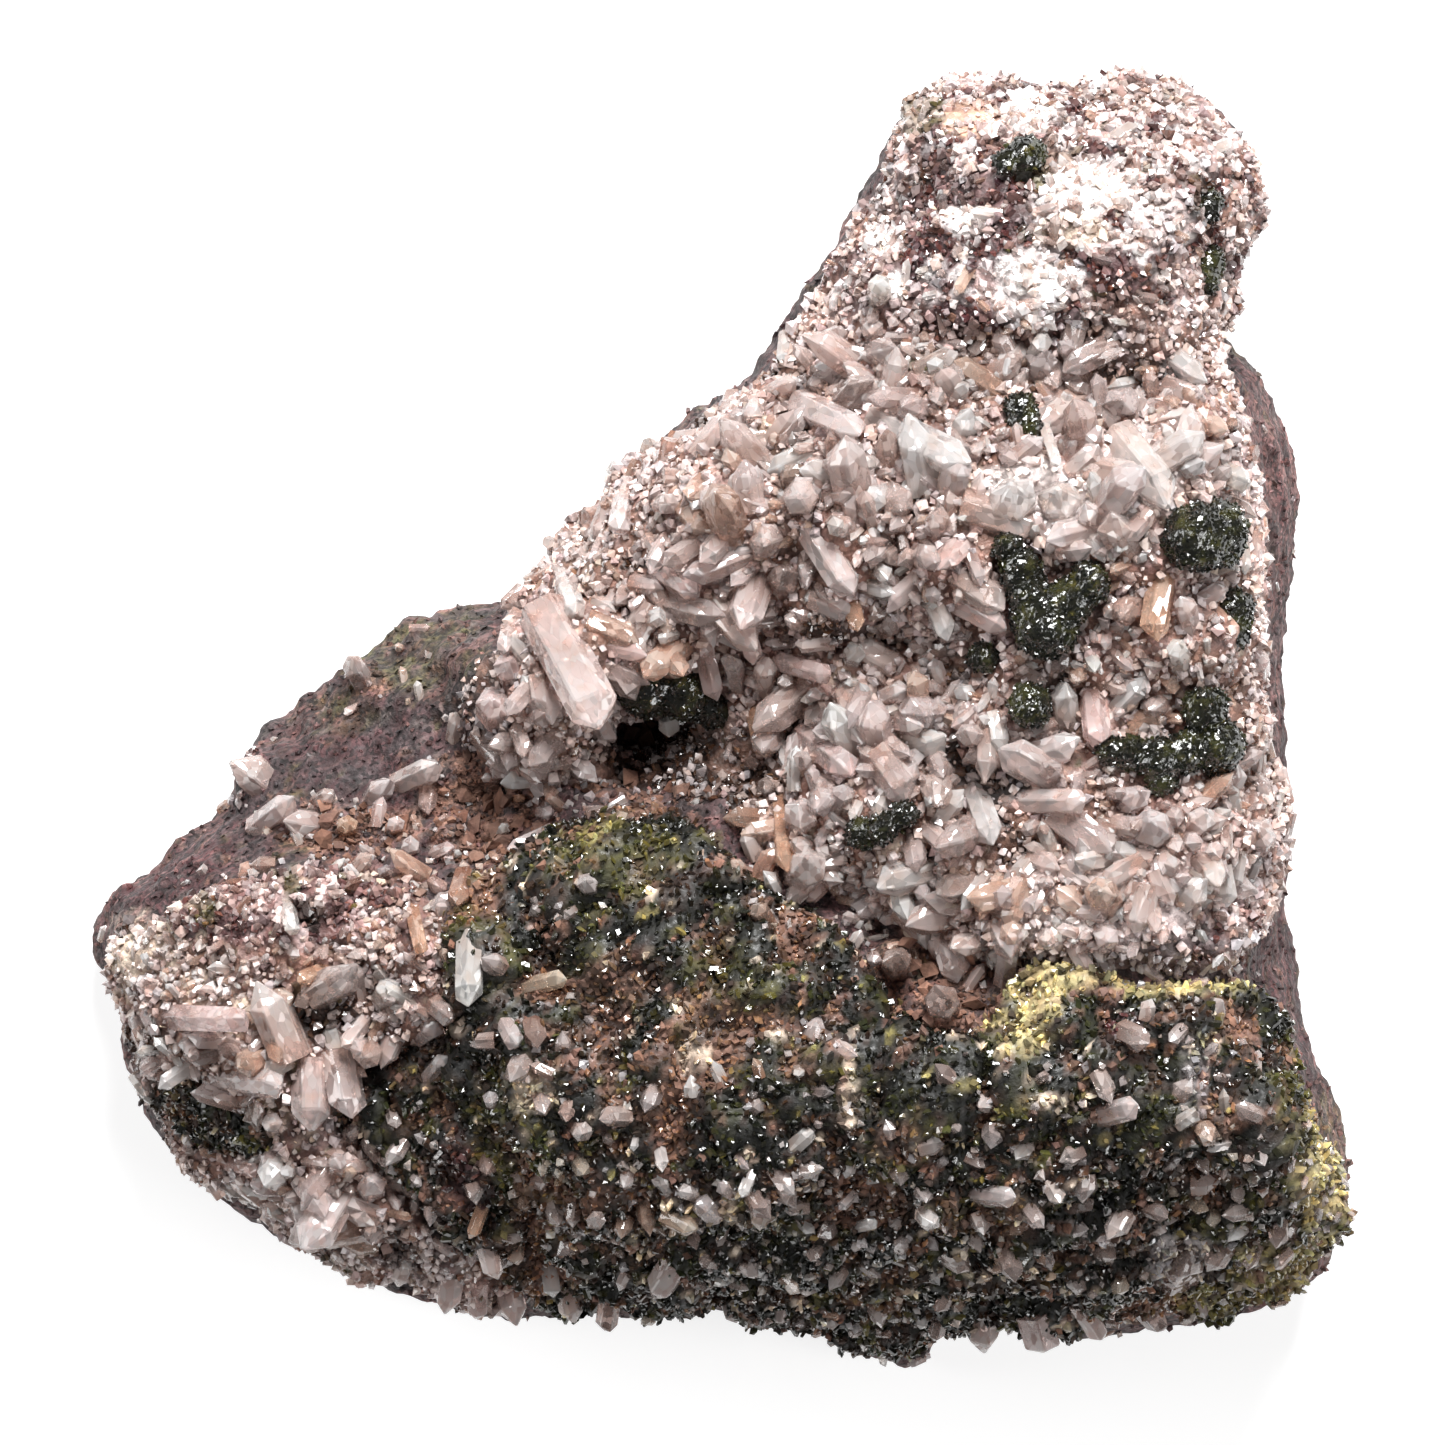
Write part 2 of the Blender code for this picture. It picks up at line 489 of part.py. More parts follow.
def crystal(base, tip, width, turn):
    """A six-sided prism with a low six-faced point, from the root at base to the tip, all in metres."""
    axis = tip - base
    radius = width * MM / 2
    point = min(radius * POINT_HEIGHT, axis.length * LONGEST_POINT)
    length = axis.length - point
    shape = bmesh.new()
    bmesh.ops.create_cone(
        shape,
        cap_ends=True,
        segments=6,
        radius1=radius * FOOT_FLARE,
        radius2=radius * SHOULDER_TAPER,
        depth=length,
    )
    end = max(shape.faces, key=lambda face: face.calc_center_median().z)
    apex = bmesh.ops.poke(shape, faces=[end])["verts"][0]
    apex.co += Vector((radius * TIP_OFFSET[0], radius * TIP_OFFSET[1], point))
    lift = Matrix.Translation((0, 0, length / 2))
    spin = Matrix.Rotation(turn, 4, "Z")
    aim = axis.to_track_quat("Z", "Y").to_matrix().to_4x4()
    shape.transform(Matrix.Translation(base) @ aim @ spin @ lift)
    return shape


def lump(centre, radius, dice, roughness, detail):
    """A rounded lump with slightly uneven facets, 20 of them at detail 1 and 80 at detail 2."""
    shape = bmesh.new()
    bmesh.ops.create_icosphere(shape, subdivisions=detail, radius=1.0)
    for vert in shape.verts:
        vert.co *= radius * (1 + dice.uniform(-roughness, roughness)) * MM
    bmesh.ops.translate(shape, verts=shape.verts, vec=centre)
    return shape


def combine(body, shapes, operation):
    """One Boolean of a body with several closed shapes, applied at once."""
    group = bpy.data.collections.new(body.name + "_" + operation.lower())
    HELPERS.children.link(group)
    for number, shape in enumerate(shapes):
        made = object_from(f"{group.name}_{number}", shape, group)
        made.display_type = "WIRE"
    modifier = body.modifiers.new(operation.title(), "BOOLEAN")
    modifier.operation = operation
    modifier.operand_type = "COLLECTION"
    modifier.collection = group
    modifier.solver = "EXACT"
    graph = bpy.context.evaluated_depsgraph_get()
    solid = bpy.data.meshes.new_from_object(body.evaluated_get(graph))
    body.modifiers.clear()
    body.data = solid
    for made in list(group.objects):
        bpy.data.objects.remove(made)
    bpy.data.collections.remove(group)


def keep_largest(body):
    """Drops the crumbs that a cut leaves loose beside a body."""
    shape = bmesh.new()
    shape.from_mesh(body.data)
    waiting = set(shape.verts)
    pieces = []
    while waiting:
        reached = [waiting.pop()]
        piece = []
        while reached:
            vert = reached.pop()
            piece.append(vert)
            for edge in vert.link_edges:
                other = edge.other_vert(vert)
                if other in waiting:
                    waiting.remove(other)
                    reached.append(other)
        pieces.append(piece)
    pieces.sort(key=len)
    for piece in pieces[:-1]:
        bmesh.ops.delete(shape, geom=piece, context="VERTS")
    shape.to_mesh(body.data)
    shape.free()


def finish(body, look):
    body.data.materials.clear()
    body.data.materials.append(material(f"{body.name}_{look[0]}", *look[1:]))


def scatter(dice, loop, spacing, avoid, holes=()):
    """Evenly spread random places inside a loop, clear of those in avoid, which are (x, y, clearance)."""
    low = np.min(loop, axis=0)
    high = np.max(loop, axis=0)
    tries = []
    for _ in range(SCATTER_TRIES):
        tries.append((dice.uniform(low[0], high[0]), dice.uniform(low[1], high[1])))
    tries = np.array(tries)
    good = inside(tries, loop) & (segment_distance(tries, loop) > spacing * SCATTER_EDGE)
    for hole in holes:
        good &= ~inside(tries, hole)
    kept = []
    for x, y in tries[good]:
        near_other = any(math.hypot(x - a, y - b) < spacing for a, b in kept)
        near_large = any(math.hypot(x - a, y - b) < clearance for a, b, clearance in avoid)
        if not near_other and not near_large:
            kept.append((x, y))
    return kept


class Surface:
    """The top of the rock and its crusts, for standing things on."""

    def __init__(self, net, triangles, tops):
        points = [place(*p, z) for p, z in zip(net, tops)]
        self.tree = BVHTree.FromPolygons(points, [tuple(t) for t in triangles])

    def at(self, x, y):
        """(height in millimetres, normal) at a place, or at the nearest place on the rock."""
        hit, normal, _, _ = self.tree.ray_cast(place(x, y, FACE_SPAN), Vector((0, 0, -1)))
        if hit is None:
            hit, normal, _, _ = self.tree.find_nearest(place(x, y, EDGE_RANGE[1]))
        return hit.z / MM, normal if normal.z > 0 else -normal


def named_crystals(rows, surface, dice, root):
    """The larger crystals, which stand where the specimen has them."""
    shapes = []
    for base_x, base_y, tip_x, tip_y, width, rise in rows:
        base = place(base_x, base_y, surface.at(base_x, base_y)[0] - root)
        tip = place(tip_x, tip_y, surface.at(tip_x, tip_y)[0] + rise)
        shapes.append(crystal(base, tip, width, dice.uniform(0, math.pi / 3)))
    return shapes


def small_crystals(places, surface, dice, root):
    """Crystals that lean at random off the surface under them."""
    shapes = []
    for x, y in places:
        height, normal = surface.at(x, y)
        turn = dice.uniform(0, 2 * math.pi)
        lean = dice.uniform(*SMALL_LEANS)
        leaning = Vector((math.cos(turn) * lean, math.sin(turn) * lean, SMALL_UPRIGHT))
        axis = (normal + leaning).normalized()
        base = place(x, y, height - root)
        length = dice.uniform(*SMALL_LENGTHS) * MM
        shapes.append(crystal(base, base + axis * length, dice.uniform(*SMALL_WIDTHS), turn))
    return shapes


def surface_lumps(places, surface, dice):
    """Squat blocky lumps of epidote, half sunk in their crust."""
    shapes = []
    for x, y in places:
        radius = dice.uniform(*LUMP_RADII)
        height = surface.at(x, y)[0]
        centre = place(x, y, height - radius * LUMP_SUNK)
        shapes.append(lump(centre, radius, dice, LUMP_ROUGHNESS, 1))
    return shapes


def clay_crumbs(places, surface, dice):
    shapes = []
    for x, y in places:
        size = dice.uniform(*CRUMB_SIZES) * MM
        shape = bmesh.new()
        bmesh.ops.create_cube(shape, size=size)
        tilt = Matrix.Rotation(dice.uniform(0, math.pi), 4, Vector((dice.random(), dice.random(), 1)))
        shape.transform(Matrix.Translation(place(x, y, surface.at(x, y)[0])) @ tilt)
        shapes.append(shape)
    return shapes


def cluster_lumps(rows, surface, dice):
    """The lumps of one epidote ball, more than half of each above the crust."""
    shapes = []
    for x, y, radius in rows:
        height, normal = surface.at(x, y)
        centre = place(x, y, height) + normal * radius * BALL_SHARE_OUT * MM
        detail = 2 if radius > FINE_BALL_RADIUS else 1
        shapes.append(lump(centre, radius, dice, BALL_ROUGHNESS, detail))
    return shapes


def wide(rows):
    """Places taken by named crystals, with the clearance that smaller ones keep."""
    taken = []
    for base_x, base_y, tip_x, tip_y, width, _ in rows:
        for share in CLEARED_SHARES:
            x = base_x + (tip_x - base_x) * share
            y = base_y + (tip_y - base_y) * share
            taken.append((x, y, width / 2 + CRYSTAL_CLEARANCE))
    return taken


def build():
    dice = random.Random(27)
    relief = Relief()
    net, triangles, rim = face_net(dice)
    depth = segment_distance(net, OUTLINE)
    shaking = np.array([dice.uniform(-ROCK_ROUGHNESS, ROCK_ROUGHNESS) for _ in net])
    heights = relief.heights(net) + shaking * np.clip(depth / RIM_RADIUS, 0.0, 1.0)
    rock = rock_mesh(net, triangles, rim, heights, dice)
    steepness = slope_factor(rock, len(net))
    cutter = swollen(rock, ROCK_GAP)

    middles = net[triangles].mean(axis=1)
    in_quartz = inside(middles, MAIN_QUARTZ) & ~inside(middles, CAVITY)
    in_left = inside(middles, LEFT_QUARTZ) & ~inside(middles, LEFT_PATCH_HOLE)
    in_patch = inside(middles, LEFT_PATCH)
    in_epidote = inside(middles, MAIN_EPIDOTE)

    bumps = np.array([dice.uniform(-CRUST_BUMPS, CRUST_BUMPS) for _ in net])
    quartz_tops = crust_heights(net, heights, steepness, MAIN_QUARTZ, bumps, [CAVITY])
    left_tops = crust_heights(net, heights, steepness, LEFT_QUARTZ, bumps, [LEFT_PATCH_HOLE])
    patch_tops = crust_heights(net, heights, steepness, LEFT_PATCH, bumps)
    epidote_tops = crust_heights(net, heights, steepness, MAIN_EPIDOTE, bumps * EPIDOTE_BUMPINESS)
    tops = heights.copy()
    for chosen, raised in (
        (in_quartz, quartz_tops),
        (in_left, left_tops),
        (in_patch, patch_tops),
        (in_epidote, epidote_tops),
    ):
        used = np.unique(triangles[chosen])
        tops[used] = raised[used]
    surface = Surface(net, triangles, tops)
    bottoms = heights - CRUST_ROOT

    def crust(name, chosen, raised):
        return object_from(name, slab(net, triangles[chosen], raised, bottoms), SPECIMEN)

    def trim(body, more=()):
        """Cuts a crust clear of the rock and of anything else that stands in it."""
        combine(body, [cutter.copy()], "DIFFERENCE")
        if more:
            combine(body, more, "DIFFERENCE")
        keep_largest(body)

    balls = [(x, y, radius + CLEAR_OF_BALLS) for rows in EPIDOTE_CLUSTERS for x, y, radius in rows]

    matrix = object_from("matrix", rock, SPECIMEN)
    crumbs = []
    for pocket in CLAY_POCKETS:
        crumbs += scatter(dice, pocket, CRUMB_SPACING, wide(ROCK_CRYSTALS))
    grown = named_crystals(ROCK_CRYSTALS, surface, dice, ROCK_ROOT)
    combine(matrix, grown + clay_crumbs(crumbs, surface, dice), "UNION")
    finish(matrix, ROCK)

    quartz = crust("quartz_crust", in_quartz, quartz_tops)
    places = scatter(dice, MAIN_QUARTZ, SMALL_SPACING, wide(MAIN_CRYSTALS) + balls, [CAVITY])
    grown = named_crystals(MAIN_CRYSTALS, surface, dice, CRYSTAL_ROOT)
    grown += small_crystals(places, surface, dice, CRYSTAL_ROOT)
    combine(quartz, grown, "UNION")
    trim(quartz)
    finish(quartz, QUARTZ)

    left = crust("quartz_crust_left", in_left, left_tops)
    places = scatter(dice, LEFT_QUARTZ, SMALL_SPACING, wide(LEFT_CRYSTALS), [LEFT_PATCH_HOLE])
    grown = named_crystals(LEFT_CRYSTALS, surface, dice, CRYSTAL_ROOT)
    grown += small_crystals(places, surface, dice, CRYSTAL_ROOT)
    combine(left, grown, "UNION")
    patch_form = slab(net, triangles[in_patch], patch_tops, bottoms)
    trim(left, [swollen(patch_form, CRUST_GAP)])
    patch_form.free()
    finish(left, QUARTZ)

    epidote = crust("epidote_crust", in_epidote, epidote_tops)
    places = scatter(dice, MAIN_EPIDOTE, LUMP_SPACING, wide(EPIDOTE_QUARTZ))
    grown = named_crystals(EPIDOTE_QUARTZ, surface, dice, CRYSTAL_ROOT)
    grown += surface_lumps(places, surface, dice)
    combine(epidote, grown, "UNION")
    trim(epidote)
    finish(epidote, EPIDOTE)

    patch = crust("epidote_patch_left", in_patch, patch_tops)
    trim(patch)
    finish(patch, EPIDOTE)

    seat = slab(net, triangles, tops + SEAT_GAP * steepness, np.full(len(net), -CRUST_ROOT))
    for number, rows in enumerate(EPIDOTE_CLUSTERS, start=1):
        lumps = cluster_lumps(rows, surface, dice)
        ball = object_from(f"epidote_cluster_{number}", lumps[0], SPECIMEN)
        if lumps[1:]:
            combine(ball, lumps[1:], "UNION")
        combine(ball, [seat.copy()], "DIFFERENCE")
        keep_largest(ball)
        finish(ball, EPIDOTE)
    cutter.free()
    seat.free()


clear_scene()
SPECIMEN = collection("epidote_crystal_cluster")
HELPERS = collection("helpers", helpers=True)
CAVITY = ellipse(CAVITY_CENTRE, CAVITY_RADII, CAVITY_SIDES)
build()
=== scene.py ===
import itertools
import math
import random

import bmesh
import bpy
import numpy as np
from mathutils import Matrix, Vector
from mathutils.bvhtree import BVHTree
from mathutils.kdtree import KDTree


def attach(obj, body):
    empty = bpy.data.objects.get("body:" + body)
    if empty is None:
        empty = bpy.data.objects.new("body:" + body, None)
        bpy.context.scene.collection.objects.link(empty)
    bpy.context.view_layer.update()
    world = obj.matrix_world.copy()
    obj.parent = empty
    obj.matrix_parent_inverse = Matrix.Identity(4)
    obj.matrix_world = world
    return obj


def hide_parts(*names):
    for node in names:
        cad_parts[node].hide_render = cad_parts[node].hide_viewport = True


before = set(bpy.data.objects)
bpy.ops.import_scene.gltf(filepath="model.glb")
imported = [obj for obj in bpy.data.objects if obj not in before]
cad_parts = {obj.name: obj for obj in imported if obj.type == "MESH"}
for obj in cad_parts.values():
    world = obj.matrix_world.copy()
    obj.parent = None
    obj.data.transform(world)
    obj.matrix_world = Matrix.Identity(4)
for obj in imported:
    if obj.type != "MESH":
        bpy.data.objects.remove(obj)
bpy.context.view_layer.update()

# Places on the specimen are face millimetres: x runs to the right and y down the face, as one looks at it
MM = 0.001
FACE_CENTRE = np.array((72.0, 72.2))

# Everything random comes from here, so that each run gives the same specimen
dice = random.Random(41)

# In millimetres: the fineness of the nets, how near points are joined, and the height below which the rock
# is its cut-off back
ROCK_VOXEL = 0.74
BALL_VOXEL = 0.48
WELD = 0.001
FLAT_BASE = 0.35

# Large odd numbers, and shifts, that scramble a cell's place into steady noise
CELL_MIX = (73856093, 19349663, 83492791)
SEED_MIX = 26544357
ROUND_MIX = [(13, 1274126177), (15, 668265263)]

# The ragged edge of a patch, as (size, share, step of the seed), how far out it is and how soft
PATCH_RAGS = [(2.4, 0.26, 0), (0.9, 0.22, 5)]
PATCH_REACH = 1.12
PATCH_EDGE = 0.3

# The two sizes of noise that shape a spot, as (size, share), and how soft its edge is
SPOT_RAGS = [(1, 0.65), (0.38, 0.45)]
SPOT_EDGE = 0.14

# A pair of smoothing steps that keeps the size of a net
EVEN_STEPS = (0.6, -0.61)

# The crusts: how far from the rock their solids are looked for and how near they are where the crust is,
# the width of the sloping edge and how deep it is sunk
CRUST_SEARCH = 1.6
CRUST_REACH = 1.35
EDGE_WIDTH = 3.0
EDGE_SUNK = 0.35

# The full thickness of each crust and its bumps, as (size, height), and the grains on both kinds of ground
GROUND_BUMPS = {
    "quartz_crust": (1.7, [(9.0, 0.9), (4.2, 1.2), (2.2, 0.6)]),
    "quartz_crust_left": (1.6, [(8.0, 1.0), (4.0, 1.3), (2.0, 0.6)]),
    "epidote_crust": (1.8, [(8.0, 1.3), (3.8, 1.6), (1.8, 0.8)]),
    "epidote_patch_left": (1.8, [(3.2, 0.9)]),
}
SUGAR_GRAINS = [(1.6, 0.5), (0.8, 0.25)]
SOIL_GRAINS = [(2.4, 0.9), (1.0, 0.4)]
LARGE_CRUSTS = ("quartz_crust", "quartz_crust_left", "epidote_crust")

# The epidote balls, and how far around them the druse takes note of them
BALLS = [f"epidote_cluster_{number}" for number in range(1, 13)]
BALL_REACH = 3.2

# How far a crystal of the lists may point down for its length across, how many millimetres it may be
# lifted clear of the ground, and the height on the specimen's side of what is beyond its edge
HERO_DROP = 0.8
HERO_LIFT = 12.0
SIDE_HEIGHT = 14.0

# How near the outline crystals are held in, in millimetres, how far in they lean there, and their share of
# full size
RIM_REACH = 5.0
RIM_LEAN = -0.2
RIM_SIZE = 0.5

# The blades of the crusts and of the balls, in millimetres but for the ratios of length to width
EPIDOTE_BLADES = {"spacing": 0.5, "widths": (0.35, 0.9), "ratios": (0.5, 1.2), "root": 0.35}
BALL_BLADES = {"spacing": 0.42, "widths": (0.3, 0.6), "ratios": (0.35, 0.8), "root": 0.3}

# A crumb's corners, about 1 from its middle, and its faces
CRUMB_CORNERS = np.array([
    (1, 0, 0.3), (0.3, 0.95, -0.3), (-0.8, 0.6, 0.3), (-0.8, -0.6, -0.3), (0.3, -0.95, 0.3),
    (0, 0, 1), (0, 0, -1),
])
CRUMB_FACES = [(k, (k + 1) % 5, 5) for k in range(5)] + [((k + 1) % 5, k, 6) for k in range(5)]

# Crystals of the druse that the photo shows one by one, as (base x, base y, tip x, tip y, width, rise, tint)
MAIN_HEROES = [
    (54.2, 61, 60.4, 72.6, 5.4, 6, "clear"), (59, 70.5, 61, 74.6, 3, 6, "clear"),
    (60.4, 64.6, 65, 65.6, 2.4, 4, "pink"), (56, 57, 57.6, 61.6, 2.6, 4, "white"),
    (65, 56.5, 70, 59.5, 2.8, 3, "pink"), (71.5, 57.6, 71.3, 56.2, 3.2, 4, "pink"),
    (78.5, 58.8, 78.3, 57, 3.6, 4, "smoky"), (74, 60.5, 75.6, 66.6, 2.2, 4, "pink"),
    (81, 53, 85.2, 59.8, 3.6, 4.5, "clear"), (85, 59.5, 85.8, 63.4, 2, 4.5, "orange"),
    (96.5, 54, 93.4, 57.2, 3, 3.6, "pink"), (94.8, 59.8, 100.6, 63.1, 2.9, 3.4, "pink"),
    (70, 63, 71.6, 70.2, 2.6, 4, "pink"), (75.4, 70.4, 76.6, 75.6, 2.6, 3.6, "orange"),
    (76, 65.5, 83, 67.6, 2.6, 3.6, "pink"), (85.2, 66.2, 85.6, 64.8, 2.4, 3.8, "white"),
    (80.5, 73.5, 85.2, 77.2, 3.2, 3.2, "pink"), (80.2, 82.4, 80, 80.8, 3.6, 4.5, "clear"),
    (78, 80, 78.6, 87.2, 2.2, 3.5, "orange"), (55.2, 83.2, 50.6, 85.2, 2.2, 3, "clear"),
    (49.8, 71.2, 49.4, 69.4, 5, 3.2, "pink"), (51, 67.6, 50.6, 66.2, 3.2, 3, "pink"),
    (62.6, 48.4, 61.8, 53.2, 2.4, 3, "clear"), (80, 40.5, 86.2, 43.6, 3.6, 3.4, "clear"),
    (87.5, 42.3, 96.8, 46.8, 4.2, 4.4, "white"), (100.8, 51.2, 101.2, 49, 5.4, 4.5, "white"),
    (106, 51, 105.4, 48.8, 5, 4, "white"), (111.5, 44, 116.8, 50.8, 5, 3.8, "white"),
    (103.4, 40, 105.4, 46.8, 1.3, 5, "white"), (116, 57.5, 114.8, 64.2, 3.4, 3.8, "orange"),
    (116.5, 35.5, 120.6, 38.6, 3.2, 3.6, "white"), (111, 14.2, 114.4, 12, 2.2, 3.2, "white"),
    (121, 15.2, 123.4, 14, 1.8, 3, "white"), (102, 76, 108, 74, 3.6, 3, "clear"),
    (100.5, 80.2, 108.4, 80, 2.9, 3.2, "clear"), (97.2, 78.6, 99.2, 84.4, 3, 3.2, "white"),
    (112.8, 80.6, 113.6, 79.2, 3.2, 3.5, "clear"), (125.6, 84.2, 126, 82.6, 4.2, 3.2, "clear"),
    (109, 68.6, 109.6, 74.6, 3, 3.2, "pink"), (125.4, 67, 125.3, 65.2, 3.8, 3, "pink"),
    (89.5, 97, 89.6, 95.4, 3.2, 3.6, "smoky"), (119.2, 60.6, 122.4, 58.6, 2.4, 3.2, "clear"),
    (118.8, 63.6, 118, 59.6, 2.6, 3.4, "clear"), (92, 82.2, 94.8, 84.8, 2.2, 3.2, "clear"),
    (86.6, 92, 86.4, 90.6, 2, 3.2, "clear"),
]
LEFT_HEROES = [
    (33.5, 96.5, 29.5, 98.2, 1.9, 3, "orange"), (28.4, 90, 29.3, 93.2, 1.8, 4, "white"),
    (37.2, 101, 34.2, 105, 1.9, 3.2, "clear"), (39.6, 103, 38, 107, 2.4, 3.4, "clear"),
    (41, 90.4, 42.2, 95.2, 1.9, 3.2, "orange"), (14.6, 102, 24.6, 102, 3.2, 3, "pink"),
    (20.8, 108, 28.4, 108.6, 3.3, 3.2, "clear"), (30.8, 106.2, 31, 113.6, 4.6, 3.2, "clear"),
    (36.8, 119.6, 37.1, 118, 3.2, 3, "clear"), (27.2, 113.4, 27, 112.2, 2.2, 3, "clear"),
    (18.4, 115.2, 18.2, 114, 1.9, 2.6, "clear"), (33.4, 117.4, 33.6, 116, 2, 2.6, "clear"),
    (21.8, 117, 25.4, 117.4, 1.8, 2.6, "pink"), (41.8, 103.8, 43.8, 102.4, 2.4, 3, "clear"),
]
EPIDOTE_HEROES = [
    (47, 93.6, 46.9, 100.6, 3.4, 3.2, "white"), (67.7, 126.2, 64.9, 130.4, 3.5, 4, "clear"),
    (54.8, 126.6, 55.2, 130.4, 2.2, 3.2, "white"), (109, 111.6, 113.6, 110.2, 2.5, 3.2, "clear"),
    (98.4, 131.6, 98.5, 136.4, 4.2, 4, "clear"), (103.4, 131.4, 104.8, 136.2, 4.2, 4, "pink"),
    (118, 127.6, 118.8, 124.8, 6, 2.6, "smoky"), (120.8, 101.4, 122.2, 99.6, 3.2, 2.8, "clear"),
    (48.8, 119, 47, 124.2, 1.7, 3.2, "orange"), (75.5, 116.3, 74.1, 119.6, 1.5, 3, "white"),
    (84.4, 123.1, 87.6, 122.1, 1.5, 3, "white"), (96.4, 119, 101.6, 119.6, 2.4, 2.8, "clear"),
    (51.6, 99, 56.8, 97.6, 2, 2.6, "cream"), (50.2, 101.6, 51.8, 104.6, 2.4, 2.6, "clear"),
    (45, 127.6, 44.2, 132.2, 2.8, 3, "clear"), (50.4, 129.4, 51.6, 133.6, 3.2, 3, "clear"),
    (61, 129.8, 60.4, 133.8, 2.4, 3, "smoky"), (72.4, 129.6, 73.6, 133.2, 2, 3, "clear"),
    (78.6, 130, 77.8, 133.4, 2.2, 3, "clear"), (94.4, 131.4, 93.6, 134.8, 1.8, 3, "smoky"),
    (108, 130.6, 110.6, 134.6, 2.6, 3, "clear"), (114, 130.6, 117, 133.8, 2.6, 3, "smoky"),
    (40.4, 125.8, 39.2, 129.4, 2.6, 3, "clear"), (47.6, 128.6, 47.4, 132.6, 2.4, 3, "pink"),
    (56.4, 129, 57.2, 133.2, 2.6, 3, "clear"), (119.6, 129, 121.4, 132.6, 2.4, 3, "clear"),
    (105.6, 121, 109.4, 120, 1.8, 2.6, "smoky"), (65.6, 113.4, 66.4, 117, 1.4, 2.4, "white"),
    (42, 108.8, 44.6, 105.8, 2, 2.8, "clear"), (115, 123.2, 116.2, 122.6, 1.7, 2.8, "clear"),
]
ROCK_HEROES = [
    (26, 78.6, 22.6, 75.6, 4.2, 3, "clear"), (36, 68.4, 34.4, 65.8, 2.8, 3, "clear"),
    (31.6, 82.6, 27.6, 82, 3, 3, "clear"), (37, 80.2, 38.6, 77.8, 3, 3, "clear"),
    (25, 83, 29, 80, 2.8, 3, "clear"), (39.5, 78.6, 43.8, 76.5, 2.8, 3, "clear"),
    (34.6, 83.6, 34.4, 82.2, 2.3, 3, "orange"), (94.2, 100.8, 94, 99.6, 3.8, 3.6, "smoky"),
    (39.2, 83.4, 39.4, 82.2, 2, 2.6, "clear"), (41, 85.4, 40.8, 84.2, 2, 2.6, "clear"),
]

# How much of its tint is left at a crystal's foot, darker as a painted shade where the crystals crowd and
# browner, and in stained and smoky crystals
CRYSTAL_FOOT_SHADE = (0.72, 0.58, 0.52)
HERO_FOOT_SHADE = (0.78, 0.66, 0.62)
STAINED = (0.93, 0.78, 0.66)
SMOKED = (0.75, 0.66, 0.62)

# Tints, in linear light
TINTS = {
    "pink": (0.86, 0.66, 0.63),
    "clear": (0.94, 0.80, 0.77),
    "white": (0.97, 0.925, 0.90),
    "orange": (0.72, 0.46, 0.33),
    "smoky": (0.42, 0.32, 0.29),
    "cream": (0.74, 0.62, 0.49),
    "rose": (0.24, 0.125, 0.115),
    "ash": (0.12, 0.11, 0.10),
    "grey": (0.45, 0.42, 0.42),
    "sugar": (0.31, 0.17, 0.13),
    "maroon": (0.062, 0.021, 0.023),
    "purple": (0.064, 0.038, 0.039),
    "dark": (0.050, 0.038, 0.040),
    # The near-black pit tint is painted shade, the dark of hollows and pits that the light does not reach
    "pit_shade": (0.030, 0.015, 0.011),
    "clay": (0.20, 0.108, 0.076),
    "olive": (0.075, 0.069, 0.020),
    "moss": (0.16, 0.16, 0.095),
    "yellow": (0.28, 0.24, 0.09),
    "mustard": (0.52, 0.44, 0.22),
    "black": (0.006, 0.006, 0.0040),
    "green": (0.024, 0.025, 0.0085),
}
